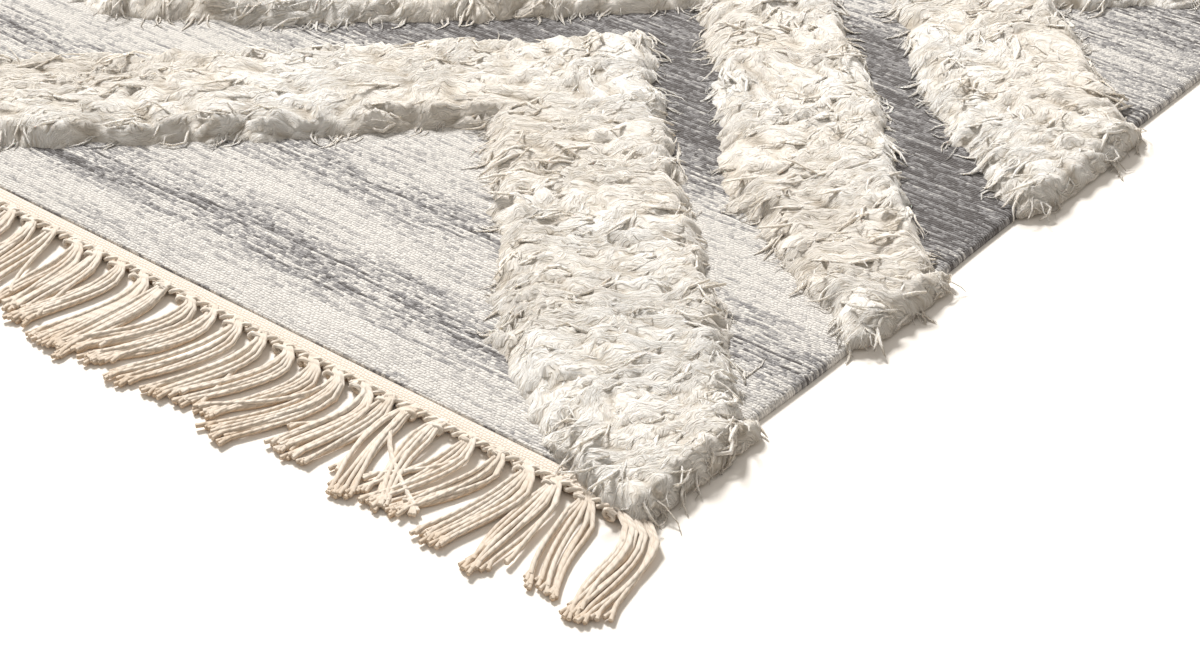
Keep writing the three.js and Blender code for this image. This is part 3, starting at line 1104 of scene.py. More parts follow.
def scatter_tree() -> bpy.types.NodeTree:
    """Plants locks on a bed: evenly spaced roots, each with one of many shapes, turned by "lay".

    Returns:
        The geometry tree.
    """
    nodes, source, out = node_group(
        "GeometryNodeTree",
        "plant_locks",
        {
            "Geometry": (SHAPE, None),
            "Shapes": ("NodeSocketCollection", None),
            "Where": ("NodeSocketString", "rooted"),
            "Spacing": (FLOAT, 0.01),
            "Density": (FLOAT, 10000.0),
            "Seed": ("NodeSocketInt", 1),
            "Turn": (FLOAT, 0.3),
            "Tilt": (FLOAT, 0.2),
            "Slope": (FLOAT, 0.65),
            "Smallest": (FLOAT, 0.8),
            "Largest": (FLOAT, 1.2),
            "Half Width": (FLOAT, 0.599),
            "Cloth Top": (FLOAT, 0.0050),
            "Floor Top": (FLOAT, 0.0005),
            "Soft": (FLOAT, 0.0025),
            "Finish": ("NodeSocketMaterial", None),
        },
        {"Geometry": SHAPE},
    )
    given = source.outputs
    roots = nodes.fill(
        nodes.add("GeometryNodeDistributePointsOnFaces", distribute_method="POISSON"),
        Mesh=given["Geometry"],
        Distance_Min=given["Spacing"],
        Density_Max=given["Density"],
        Density_Factor=nodes.stored(given["Where"]),
        Seed=given["Seed"],
    )

    def chance(low: object, high: object, offset: int) -> bpy.types.NodeSocket:
        """A random number between two values, for each root."""
        node = nodes.add("FunctionNodeRandomValue", data_type="FLOAT")
        nodes.put(node.inputs[2], low)
        nodes.put(node.inputs[3], high)
        nodes.put(node.inputs["Seed"], nodes.math("ADD", given["Seed"], float(offset)))
        return node.outputs[1]

    turned = nodes.add("FunctionNodeAlignRotationToVector", axis="X", pivot_axis="Z")
    nodes.fill(turned, Vector=nodes.stored("lay", "FLOAT_VECTOR"))
    sloped = nodes.fill(
        nodes.add("FunctionNodeAlignRotationToVector", axis="Z", pivot_axis="AUTO"),
        Factor=given["Slope"],
        Rotation=turned.outputs[0],
        Vector=roots.outputs["Normal"],
    )
    tilt = chance(nodes.math("MULTIPLY", given["Tilt"], -1.0), given["Tilt"], 23)
    turn = chance(nodes.math("MULTIPLY", given["Turn"], -1.0), given["Turn"], 11)
    stray = nodes.add("FunctionNodeRotateRotation", rotation_space="LOCAL")
    nodes.put(stray.inputs[0], sloped.outputs[0])
    nodes.put(stray.inputs[1], nodes.join(0.0, tilt, turn))
    shapes = nodes.add("GeometryNodeCollectionInfo")
    nodes.fill(shapes, Separate_Children=True, Reset_Children=True, Collection=given["Shapes"])
    pick = nodes.fill(nodes.add("FunctionNodeRandomValue", data_type="INT"), Seed=given["Seed"])
    nodes.put(pick.inputs[4], 0)
    nodes.put(pick.inputs[5], 999)
    grown = nodes.math("MULTIPLY", chance(given["Smallest"], given["Largest"], 37), nodes.stored("size"))
    plant = nodes.fill(
        nodes.add("GeometryNodeInstanceOnPoints"),
        Points=roots.outputs["Points"],
        Instance=shapes.outputs[0],
        Pick_Instance=True,
        Instance_Index=pick.outputs[2],
        Rotation=stray.outputs[0],
        Scale=grown,
    )
    toned = nodes.store(plant.outputs[0], "tone", chance(0.0, 1.0, 51), domain="INSTANCE")
    real = nodes.add("GeometryNodeRealizeInstances")
    nodes.put(real.inputs[0], toned)
    close_tree(nodes, rest_on_cloth(nodes, real.outputs[0], source), source, out)
    return nodes.tree


def cord_tree() -> bpy.types.NodeTree:
    """Turns paths into round closed cords with a UV map: round the cord, and along it by its length.

    Returns:
        The geometry tree.
    """
    nodes, source, out = node_group(
        "GeometryNodeTree",
        "lay_cords",
        {
            "Geometry": (SHAPE, None),
            "Radius": (FLOAT, 0.0014),
            "Sides": ("NodeSocketInt", 5),
            "Lay Length": (FLOAT, 0.08),
            "Finish": ("NodeSocketMaterial", None),
        },
        {"Geometry": SHAPE},
    )
    given = source.outputs
    length = nodes.add("GeometryNodeSplineParameter").outputs["Length"]
    path = nodes.store(given["Geometry"], "along", nodes.math("DIVIDE", length, given["Lay Length"]))
    ring = nodes.add("GeometryNodeCurvePrimitiveCircle")
    nodes.fill(ring, Resolution=given["Sides"], Radius=given["Radius"])
    turn = nodes.add("GeometryNodeSplineParameter").outputs["Factor"]
    section = nodes.store(ring.outputs[0], "around", turn)
    tube = nodes.add("GeometryNodeCurveToMesh")
    nodes.fill(tube, Curve=path, Profile_Curve=section, Fill_Caps=True)
    pair = nodes.join(nodes.stored("around"), nodes.stored("along"))
    mapped = nodes.store(tube.outputs[0], "UVMap", pair, kind="FLOAT2", domain="CORNER")
    smooth = nodes.add("GeometryNodeSetShadeSmooth")
    nodes.put(smooth.inputs[0], mapped)
    real = nodes.add("GeometryNodeRealizeInstances")
    nodes.put(real.inputs[0], smooth.outputs[0])
    close_tree(nodes, real.outputs[0], source, out)
    return nodes.tree


def finish_piece(obj: bpy.types.Object, node: str) -> bpy.types.Object:
    """Rides a piece on the rug's one body and hides the node that it stands for.

    Args:
        obj: the piece.
        node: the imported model's node that it replaces.

    Returns:
        The piece.
    """
    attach(obj, "root")
    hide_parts(node)
    triangles = sum(len(face.vertices) - 2 for face in obj.data.polygons)
    log.info("%s: %d triangles", obj.name, triangles)
    return obj


# Sub-assemblies


@dataclass
class GroundCloth:
    """The flat woven ground, with its wavering selvages."""

    pattern: Pattern
    thick: float = 4.7
    gap: float = 0.3
    step: float = 20.0
    swell: float = 0.5
    swell_scale: float = 45.0
    edge_inset: tuple[float, ...] = (0.0, 1.2, 3.6)
    edge_drop: tuple[float, ...] = (2.6, 0.9, 0.1)
    end_inset_share: float = 0.5
    end_drop_share: float = 0.25

    def build(self, material: bpy.types.Material) -> bpy.types.Object:
        """Makes the ground as one closed sheet.

        Args:
            material: the woven wool.

        Returns:
            The finished piece.
        """
        pattern = self.pattern
        end = pattern.length / 2 - pattern.heading - self.gap
        near_end = np.array(self.edge_inset) * self.end_inset_share
        y = np.linspace(-end, end, round(2 * end / self.step) + 1)[1:-1]
        y = np.concatenate([near_end - end, y, end - near_end[::-1]])
        rows = len(y)
        turn = np.array(self.edge_inset) / (pattern.width / 2)
        flat = np.linspace(-1, 1, round(pattern.width / self.step) + 1)[1:-1]
        share = np.concatenate([turn - 1, flat, 1 - turn[::-1]])
        columns = len(share)
        half = np.where(share[None, :] < 0, pattern.waver(y, -1)[:, None], pattern.waver(y, 1)[:, None])
        x = share[None, :] * (pattern.width / 2 + half)
        yy = np.repeat(y[:, None], columns, axis=1)
        top = self.thick + self.swell * value_noise(x, yy, self.swell_scale, seed=5)
        for k, fall in enumerate(self.edge_drop):
            top[:, [k, -1 - k]] -= fall
            top[[k, -1 - k], :] -= self.end_drop_share * fall
        parts = MeshParts.empty()
        parts.points = list(np.stack([x, yy, top], axis=-1).reshape(-1, 3))
        parts.points += list(np.stack([x, yy, np.zeros_like(x)], axis=-1).reshape(-1, 3))
        low = rows * columns
        for i in range(rows - 1):
            for j in range(columns - 1):
                a = i * columns + j
                parts.faces.append((a, a + 1, a + columns + 1, a + columns))
                parts.faces.append((low + a, low + a + columns, low + a + columns + 1, low + a + 1))
        for i in range(rows - 1):
            for j in (0, columns - 1):
                a = i * columns + j
                parts.faces.append((a, a + columns, low + a + columns, low + a))
        for j in range(columns - 1):
            for i in (0, rows - 1):
                a = i * columns + j
                parts.faces.append((a, a + 1, low + a + 1, low + a))
        mesh = parts.mesh(Piece.GROUND.value)
        face_out(mesh)
        mesh.materials.append(material)
        obj = finish_piece(new_object(Piece.GROUND.value, mesh), "wool_cloth")
        return obj


@dataclass
class Pile:
    """The knotted pile: a bed of overlapping tufts, with loose locks of yarn rooted in it.

    The bed is a height field whose foot is sunk in the ground. Its outline is the pattern's, moved by the
    tufts' tips, by wool that falls over the front edges, and by what hangs over the cloth's rim.
    """

    pattern: Pattern
    step: float = 3.0
    sunk: float = 2.5
    crest: float = 16.5
    shoulder: float = 15.0
    front_shoulder: float = 19.0
    outer_shoulder: float = 10.0
    rise_power: float = 0.7
    front_fall: float = 8.0
    fall_scale: float = 110.0
    fall_fade: float = 60.0
    corner_round: float = 20.0
    rim_turn: float = 1.5
    rim_width: float = 9.0
    tip_reach: float = 6.0
    tuft_height: float = 7.0
    tuft_width: float = 10.5
    tuft_length: float = 34.0
    lump: float = 1.6
    lump_scale: float = 38.0
    front_inset: float = 3.0
    overhang: float = 10.0
    side_overhang: float = 12.0
    end_overhang: float = 3.0
    slant: float = 0.35
    shapes: int = 20
    yarn: float = 1.35
    fine: float = 0.7
    yarn_length: float = 30.0
    spacing: float = 22.4
    rim_spacing: float = 12.0
    rim_sizes: tuple[float, float] = (0.9, 1.3)
    sizes: tuple[float, float] = (0.8, 1.15)
    turn: float = 0.34
    tilt: float = 0.12
    density: float = 60000.0
    zones: int = 5
    shape_seed: int = 100
    rim_seed: int = 31

    def comb(self, x: np.ndarray, y: np.ndarray) -> np.ndarray:
        """A number that stays the same along the lay: wool combed to the front, with swirls and clumps."""
        swirls = 52 * value_noise(x, y, 120, seed=21) + 15 * value_noise(x, y, 36, seed=22)
        return x - self.slant * y + swirls + 5 * value_noise(x, y, 17, seed=23)

    def lay(self, x: np.ndarray, y: np.ndarray) -> np.ndarray:
        """The way the pile lies at each place, as unit vectors.

        Args:
            x: places across the rug.
            y: places along the rug.

        Returns:
            A vector for each place.
        """
        step = 2.0
        across = (self.comb(x + step, y) - self.comb(x - step, y)) / (2 * step)
        along = (self.comb(x, y + step) - self.comb(x, y - step)) / (2 * step)
        way = np.stack([along, -across, np.zeros_like(x)], axis=-1)
        return way / np.maximum(np.linalg.norm(way, axis=-1, keepdims=True), 1e-6)

    def tufts(self, x: np.ndarray, y: np.ndarray, wide: float, long: float, seed: float) -> np.ndarray:
        """Tufts that lie over each other like shingles, along the lay.

        Args:
            x: places across the rug.
            y: places along the rug.
            wide: a tuft's mean width.
            long: a tuft's mean length.
            seed: a number that picks the tufts.

        Returns:
            A height from 0 to 1 for each place.
        """
        comb = (self.comb(x, y) + 2.5 * value_noise(x, y, 8, seed + 2)) / wide
        along = (-y - self.slant * x + 9 * value_noise(x, y, 28, seed)) / long
        column = np.floor(comb)
        across = 2 * (comb - column) - 1
        along = along + 7 * lot(column, np.zeros_like(column), seed)
        cell = np.floor(along)
        down = along - cell
        body = np.cos(0.5 * math.pi * across) ** 0.8
        shape = (0.25 + 0.75 * smoothstep(down, 0.0, 0.65)) * (1 - smoothstep(down, 0.78, 1.0))
        return (0.45 + 0.55 * lot(column, cell, seed + 1)) * body * shape

    def relief(self, x: np.ndarray, y: np.ndarray) -> np.ndarray:
        """The bed's tufts at each place, as a height from 0 to about 1.

        Args:
            x: places across the rug.
            y: places along the rug.

        Returns:
            The heights.
        """
        large = self.tufts(x, y, self.tuft_width, self.tuft_length, 41)
        small = self.tufts(x, y, 0.68 * self.tuft_width, 0.75 * self.tuft_length, 57)
        loose = self.tufts(x, y, 1.5 * self.tuft_width, self.tuft_length, 73)
        return np.maximum(np.maximum(large, 0.85 * small), 0.9 * loose)

    def fall(self, x: np.ndarray, y: np.ndarray) -> np.ndarray:
        """How far wool falls over a band's front edge: most where that edge faces the way it is combed.

        Args:
            x: places across the rug.
            y: places along the rug.

        Returns:
            The distances, in millimetres.
        """
        up = y + self.pattern.length / 2
        row = np.clip(np.floor(up / self.pattern.repeat), 0, 2)
        within = up - row * self.pattern.repeat
        turn = np.sin(2 * math.pi * (x + self.pattern.width / 2) / self.pattern.repeat)
        faces = 0.5 - 0.5 * np.where(row == 1, -turn, turn)
        inner = smoothstep(np.minimum(within, self.pattern.repeat - within), 0, self.fall_fade)
        uneven = self.front_fall * value_noise(x, y, self.fall_scale, seed=335)
        return inner * faces * (self.front_fall + uneven)

    def depth(self, x: np.ndarray, y: np.ndarray) -> tuple[np.ndarray, ...]:
        """How far inside the pile each place is.

        Args:
            x: places across the rug.
            y: places along the rug.

        Returns:
            The depth from a band's front edge, from its back edge, and from the rim of the cloth.
        """
        tips = self.tip_reach * (self.relief(x, y) - 0.5)
        front, back = self.pattern.edges(x, y)
        selvage = self.pattern.width / 2
        side = selvage + self.side_overhang - np.abs(x)
        ends = self.pattern.length / 2 - self.pattern.heading + self.end_overhang - np.abs(y)
        ends = ends + self.overhang * smoothstep(np.abs(x), selvage - 50, selvage - 12)
        return front + self.fall(x, y) + tips, back + tips, np.minimum(side, ends) + 0.5 * tips

    def height(self, x: np.ndarray, y: np.ndarray, depths: tuple[np.ndarray, ...]) -> np.ndarray:
        """The bed's top at each place: shoulders that rise from its edges to a lumpy crest.

        Args:
            x: places across the rug.
            y: places along the rug.
            depths: what depth gives for them.

        Returns:
            The heights, in millimetres.
        """
        front, back, outer = depths
        rise = np.minimum(smoothstep(front, -2, self.front_shoulder), smoothstep(back, -1, self.shoulder))
        rise = np.minimum(rise, smoothstep(outer, -1, self.outer_shoulder)) ** self.rise_power
        lumps = self.tuft_height * (self.relief(x, y) - 0.55)
        lumps = lumps + self.lump * value_noise(x, y, self.lump_scale, seed=31)
        return self.sunk + np.maximum(self.crest - self.sunk + lumps, 1.0) * rise

    def bed_parts(self) -> tuple[MeshParts, np.ndarray]:
        """The bed's top as a height field, and each face's zone along the rug.

        Returns:
            The top with its named values, and a zone number for each face.
        """
        pattern = self.pattern
        half_x = pattern.width / 2 + self.side_overhang + 8
        half_y = pattern.length / 2 - pattern.heading + self.overhang + 9
        columns = round(2 * half_x / self.step) + 1
        rows = round(2 * half_y / self.step) + 1
        line_x, line_y = np.linspace(-half_x, half_x, columns), np.linspace(-half_y, half_y, rows)
        x, y = np.meshgrid(line_x, line_y)
        front, back, outer = depths = self.depth(x, y)
        inside = np.minimum(front, back)
        close = np.clip(self.corner_round - np.abs(inside - outer), 0, None)
        inside = np.minimum(inside, outer) - close**2 / (4 * self.corner_round)
        slope_y, slope_x = np.gradient(inside, line_y, line_x)
        steep = np.maximum(np.hypot(slope_x, slope_y), 0.3)
        slope_x, slope_y = slope_x / steep, slope_y / steep
        lay = self.lay(x, y)
        rim = self.rim_turn * (1 - smoothstep(inside, 0, 9))
        lay[..., 0] -= rim * slope_x
        lay[..., 1] -= rim * slope_y
        rooted = (inside > 1) & (front > self.front_inset)
        # How far each place lies down between the tufts, which the bed's material paints as shade.
        hollow = smoothstep(1 - self.relief(x, y), 0.35, 0.95)
        z = self.height(x, y, depths)
        on = inside > 0
        keep = on[:-1, :-1] | on[1:, :-1] | on[:-1, 1:] | on[1:, 1:]
        pull = np.clip(-inside, 0, self.step)
        x, y = x + pull * slope_x, y + pull * slope_y
        used = np.zeros(x.shape, bool)
        for di in (0, 1):
            for dj in (0, 1):
                used[di : rows - 1 + di, dj : columns - 1 + dj] |= keep
        number = np.full(x.shape, -1)
        number[used] = np.arange(used.sum())
        parts = MeshParts.empty()
        parts.points = np.stack([x[used], y[used], z[used]], axis=1)
        combed = np.stack([self.comb(x, y), y, np.zeros_like(x)], axis=-1)
        parts.values = {
            "rooted": rooted[used].astype(float),
            "rim": ((inside > 0.5) & (inside < self.rim_width))[used].astype(float),
            "size": (0.65 + 0.35 * smoothstep(inside, 2, 12))[used],
            "hollow": hollow[used],
            "lay": lay[used],
            "comb": combed[used],
        }
        i, j = np.nonzero(keep)
        ring = [number[i, j], number[i, j + 1], number[i + 1, j + 1], number[i + 1, j]]
        parts.faces = np.stack(ring, axis=1)
        return parts, np.minimum(i * self.zones // (rows - 1), self.zones - 1)

    def zone_parts(self, bed: MeshParts, faces: np.ndarray, walls: bool) -> MeshParts:
        """One zone of the bed.

        Args:
            bed: the whole bed's top.
            faces: the zone's faces.
            walls: whether walls reach down from the zone's rim.

        Returns:
            The zone's parts, with its own vertex numbers.
        """
        kept, local = np.unique(faces, return_inverse=True)
        faces = local.reshape(-1, 4)
        rim = {}
        for a, b in np.concatenate([faces[:, [k, (k + 1) % 4]] for k in range(4)]).tolist():
            if rim.pop((b, a), None) is None:
                rim[(a, b)] = True
        parts = MeshParts.empty()
        parts.faces = faces.tolist()
        parts.points = bed.points[kept]
        rows = kept
        if walls:
            low = sorted({corner for edge in rim for corner in edge})
            base = {corner: len(kept) + k for k, corner in enumerate(low)}
            for a, b in rim:
                parts.flat.append(len(parts.faces))
                parts.faces.append((b, a, base[a], base[b]))
            under = parts.points[low].copy()
            under[:, 2] = self.sunk - 0.8
            parts.points = np.concatenate([parts.points, under])
            rows = np.concatenate([kept, kept[low]])
        parts.values = {name: np.array(value)[rows] for name, value in bed.values.items()}
        return parts

    def strand_path(self, rng: np.random.Generator, length: float, turn: float, lift: float) -> np.ndarray:
        """The centreline of one strand: up out of its root, over, and down to lie on its neighbours.

        Args:
            rng: the source of the strand's chance values.
            length: the strand's length, in millimetres.
            turn: its heading at the root, in radians from +X.
            lift: how steeply it leaves the root, in degrees.

        Returns:
            Six points from the root to the tip.
        """
        places = np.array([0, 0.2, 0.42, 0.66, 0.9, 1.0])
        rise = math.radians(lift * rng.uniform(0.7, 1.3))
        fall = math.radians(rng.uniform(-24, -6))
        sway = rng.uniform(-0.9, 0.9)
        curl = rng.uniform(-1.0, 1.0)
        path = [np.array([0.0, 0.0, -1.4])]
        for share, step in zip((places[1:] + places[:-1]) / 2, np.diff(places) * length):
            up = rise + (fall - rise) * min(1.0, 1.3 * share)
            heading = turn + sway * (share - 0.3) + curl * math.sin(2 * math.pi * share)
            flat = step * math.cos(up)
            move = np.array([flat * math.cos(heading), flat * math.sin(heading), step * math.sin(up)])
            path.append(path[-1] + move)
        return np.array(path)

    def lock_shapes(self) -> bpy.types.Collection:
        """A collection of locks laid along +X: a few strands side by side that lie half sunk in the bed.

        Returns:
            The collection, which isn't linked to the scene.
        """
        shelf = bpy.data.collections.new("lock_shapes")
        for i in range(self.shapes):
            rng = np.random.default_rng(self.shape_seed + i)
            parts = MeshParts.empty()
            bend = rng.uniform(-0.3, 0.3)
            start = rng.uniform(-14, -4)
            for side in (-1, 1):
                turn = bend - side * rng.uniform(-0.12, 0.22)
                path = self.strand_path(rng, self.yarn_length * rng.uniform(0.75, 1.15), turn, 14)
                path[:, 1] += side * rng.uniform(1.4, 3.4) + rng.uniform(-1, 1)
                path[:, 0] += start + rng.uniform(-4, 4)
                path[:, 2] += rng.uniform(-0.6, 0.9)
                radii = self.yarn * np.array([0.7, 1.0, 1.05, 0.9, 0.6]) * rng.uniform(0.75, 1.25)
                parts.tube(path, radii, 3, flat=0.6, strand=rng.uniform(0, 1))
            for _ in range(2):
                length = self.yarn_length * rng.uniform(0.6, 1.0)
                path = self.strand_path(rng, length, bend + rng.normal(0, 0.35), 20)
                path = path[[0, 1, 3, 4, 5]]
                path[:, 1] += rng.uniform(-7, 7)
                path[:, 0] += rng.uniform(-14, 0)
                radii = self.fine * np.array([0.8, 1.0, 0.9, 0.6]) * rng.uniform(0.7, 1.3)
                parts.tube(path, radii, 3, flat=0.8, strand=rng.uniform(0, 1))
            mesh = parts.mesh(f"lock_{i:02d}")
            face_out(mesh)
            shape = bpy.data.objects.new(mesh.name, mesh)
            shelf.objects.link(shape)
        return shelf

    def plant(
        self,
        plot: MeshParts,
        tree: bpy.types.NodeTree,
        shelf: bpy.types.Collection,
        name: str,
        seed: int,
        material: bpy.types.Material,
        at_rim: bool = False,
    ) -> bpy.types.Object:
        """Plants locks on a part of the bed.

        Args:
            plot: the part of the bed.
            tree: the planting tree.
            shelf: the collection of lock shapes.
            name: the piece's name.
            seed: what picks the places and shapes.
            material: the wool of the locks.
            at_rim: whether they stand along the bed's rim, and closer, in place of all over it.

        Returns:
            The locks as one mesh.
        """
        spacing = self.rim_spacing if at_rim else self.spacing
        smallest, largest = self.rim_sizes if at_rim else self.sizes
        return grow(
            new_object("plot", plot.mesh("plot")),
            tree,
            name,
            Shapes=shelf,
            Where="rim" if at_rim else "rooted",
            Spacing=spacing * MM,
            Density=self.density,
            Seed=seed,
            Turn=self.turn,
            Tilt=self.tilt,
            Smallest=smallest,
            Largest=largest,
            Finish=material,
        )

    def build(self, combed: bpy.types.Material, yarn: bpy.types.Material) -> list[bpy.types.Object]:
        """Makes, zone by zone along the rug, the bed and the locks that grow out of it.

        Args:
            combed: the combed wool of the bed.
            yarn: the wool of the locks.

        Returns:
            The finished pieces.
        """
        bed, zones = self.bed_parts()
        faces = bed.faces
        shelf = self.lock_shapes()
        tree = scatter_tree()
        made = []
        for zone in range(self.zones):
            body = self.zone_parts(bed, faces[zones == zone], walls=True)
            name = f"{Piece.PILE_BED.value}_{zone + 1}"
            mesh = body.mesh(name)
            close_below(mesh, self.sunk - 0.4)
            mesh.materials.append(combed)
            made.append(new_object(name, mesh))
            plot = self.zone_parts(bed, faces[zones == zone], walls=False)
            name = f"{Piece.PILE.value}_{zone + 1}"
            made.append(self.plant(plot, tree, shelf, name, zone + 1, yarn))
        half = self.zones // 2
        for part, some in enumerate((zones <= half, zones > half)):
            plot = self.zone_parts(bed, faces[some], walls=False)
            name = f"{Piece.RIM.value}_{part + 1}"
            seed = self.rim_seed + part
            made.append(self.plant(plot, tree, shelf, name, seed, yarn, at_rim=True))
        for shape in list(shelf.objects):
            drop(shape)
        bpy.data.collections.remove(shelf)
        for piece in made:
            finish_piece(piece, "wool_cloth")
        return made


@dataclass(frozen=True)
class Drift:
    """How a tassel lies: its number from its corner, its cut end's drift along X and its arc before."""

    tassel: int
    drift: float
    arc: float


@dataclass
class Fringe:
    """The cotton heading of one end, with its twined edge and its knotted bundles of cords."""

    pattern: Pattern
    end: End
    tassels: int = 65
    cords: int = 8
    reach: float = 76.0
    root_width: float = 4.4
    tassel_width: float = 12.0
    web_thick: float = 4.0
    web_steps: int = 300
    web_section: tuple[tuple[float, float], ...] = (
        (0, 0.0),
        (0, 0.75),
        (0.12, 1.0),
        (0.5, 1.0),
        (0.85, 0.95),
        (1.0, 0.55),
        (1.0, 0.0),
    )
    corner_cords: int = 12
    corner_width: float = 24.0
    corner_shift: float = 8.0
    edge_inset: float = 6.0
    lean_spread: float = 5.0
    arc_spread: float = 2.5
    stray_share: float = 0.09
    stray_drift: float = 17.0
    cord_radius: float = 1.35
    cord_sides: int = 5
    twine_radius: float = 1.45
    twine_pitch: float = 13.0
    knot_radius: float = 3.4
    drifts: tuple[Drift, ...] = (
        Drift(0, 27, 17),
        Drift(1, 23, 7),
        Drift(2, 10, 8),
        Drift(3, 6, 8),
        Drift(4, -12, 7),
        Drift(5, -2, 5),
        Drift(6, 14, 2),
        Drift(7, 20, 0),
        Drift(8, -4, 6),
        Drift(9, 1, 9),
        Drift(12, -9, 11),
        Drift(16, -10, 9),
        Drift(22, 12, 7),
        Drift(26, 15, 8),
        Drift(30, 3, 7),
        Drift(35, -13, 6),
        Drift(40, -5, 6),
        Drift(45, 12, 5),
        Drift(52, 5, 6),
        Drift(57, -11, 6),
        Drift(63, -4, 4),
        Drift(64, -14, 2),
    )

    def root(self, number: int) -> float:
        """Where a tassel, counted from the corner that the fringe fans out of, leaves the heading.

        Args:
            number: the tassel.

        Returns:
            Its place along X.
        """
        pitch = (self.pattern.width - 2 * self.edge_inset) / (self.tassels - 1)
        return -self.end.value * (self.pattern.width / 2 - self.edge_inset - number * pitch)

    def lean(self, number: int) -> tuple[float, float]:
        """How far that tassel's cut end is drawn along X, and how far it arcs out before that.

        Args:
            number: the tassel, counted from the corner.

        Returns:
            The drift and the arc, in millimetres.
        """
        tassels = [d.tassel for d in self.drifts]
        drift = np.interp(number, tassels, [d.drift for d in self.drifts])
        arc = np.interp(number, tassels, [d.arc for d in self.drifts])
        return -self.end.value * float(drift), -self.end.value * float(arc)

    def bundle(self, number: int) -> list[np.ndarray]:
        """The centrelines of one tassel's cords, from inside the heading to their cut ends.

        Args:
            number: the tassel, counted from the corner.

        Returns:
            For each cord and each wisp at its cut end, rows of x, y, z and thickness.
        """
        rng = np.random.default_rng(1000 * (self.end.value + 2) + number)
        corner = number == 0
        lean, arc = self.lean(number)
        lean += rng.normal(0, self.lean_spread)
        arc += rng.normal(0, self.arc_spread)
        cut = (self.reach + 3) * rng.uniform(0.78, 0.97)
        tuft = 0.6 if corner else rng.uniform(0.5, 1.15)
        made = []
        root = self.root(number) - self.end.value * (self.corner_shift if corner else 0)
        root_width = self.corner_width if corner else self.root_width
        body = self.tassel_width * (1 + 0.7 * math.exp(-number / 5))
        cords = self.corner_cords if corner else self.cords + rng.integers(-1, 2)
        for k in range(cords):
            place = 2 * (k + 0.5) / cords - 1 + rng.normal(0, 0.1)
            layer = rng.uniform(0, 1)
            reach = cut * rng.uniform(0.93, 1.03)
            stray = rng.normal(0, 2.0)
            if rng.uniform() < self.stray_share:
                stray = rng.normal(0, self.stray_drift)
                reach *= rng.uniform(0.75, 0.95)
            wave, phase, turns = rng.uniform(0.6, 2.2), rng.uniform(0, 2 * math.pi), rng.uniform(3, 6)
            t = np.linspace(0, 1, 9)
            fan = root_width + (body - root_width) * smoothstep(t, 0.0, 0.3)
            fan = fan * (1 - (1 - tuft) * smoothstep(t, 0.6, 1.0))
            x = root + place * fan / 2 + (lean + stray) * t * t + arc * np.sin(math.pi * t**0.62)
            x += wave * np.sin(turns * t + phase) * t
            y = self.end.value * (self.pattern.length / 2 - 2 + (reach + 2) * t)
            start = self.web_thick + 0.6
            lowest = start - (start - self.cord_radius) * smoothstep(t, 0.04, 0.32)
            z = lowest + 2.9 * layer * (1 - 0.5 * t) * smoothstep(t, 0, 0.3)
            size = np.where(t > 0.97, 0.55, np.where(t < 0.1, 0.85, 1.0))
            cord = np.stack([x, y, z, size], axis=1)
            made.append(cord)
            made.extend(self.wisp(rng, cord, side) for side in (-1, 1))
        return made

    def wisp(self, rng: np.random.Generator, cord: np.ndarray, side: int) -> np.ndarray:
        """A thin end that splits off a cord's cut end, to the side -1 or +1.

        Args:
            rng: the source of the wisp's chance values.
            cord: the cord's rows of x, y, z and thickness.
            side: the side that it splits to.

        Returns:
            Two rows of x, y, z and thickness.
        """
        split = cord[-1] - 0.4 * (cord[-1] - cord[-2])
        apart = side * rng.uniform(0.4, 2.4)
        on = self.end.value * rng.uniform(0.8, 5.0)
        tip = cord[-1] + np.array([apart, on, rng.uniform(-0.5, 0.5), 0])
        made = np.array([split, tip])
        made[:, 3] = (0.6, 0.3)
        return made

    def knot(self, number: int) -> np.ndarray:
        """A turn of cord round the root of a tassel, as rows of x, y, z and thickness.

        Args:
            number: the tassel, counted from the corner.

        Returns:
            The rows.
        """
        rng = np.random.default_rng(5000 * (self.end.value + 2) + number)
        turn = np.linspace(0, 2.35 * math.pi, 11) + rng.uniform(0, 6)
        x = self.root(number) + (self.knot_radius + rng.uniform(-0.3, 0.5)) * np.cos(turn)
        y = self.end.value * (self.pattern.length / 2 + 2.2 + 2.2 * turn / 7 + rng.uniform(-1, 1))
        z = 3.5 + 2.3 * np.sin(turn)
        return np.stack([x, y, z, np.full_like(turn, 0.95)], axis=1)

    def twine(self, ply: int) -> np.ndarray:
        """One of the two strands twined along the heading's edge, as rows of x, y, z and thickness.

        Args:
            ply: 0 or 1, the strand.

        Returns:
            The rows.
        """
        half = self.pattern.width / 2 - 3
        x = np.arange(-half, half + 0.1, self.twine_pitch / 6)
        uneven = 0.9 * value_noise(x, np.zeros_like(x), 23, seed=81)
        turn = 2 * math.pi * x / self.twine_pitch + math.pi * ply + uneven
        sway = 0.8 * value_noise(x, np.zeros_like(x), 31, seed=83)
        y = self.end.value * (self.pattern.length / 2 + 0.2 + sway + 2.0 * np.cos(turn))
        z = 3.6 + 1.5 * np.sin(turn)
        return np.stack([x, y, z, np.full_like(x, self.twine_radius / self.cord_radius)], axis=1)

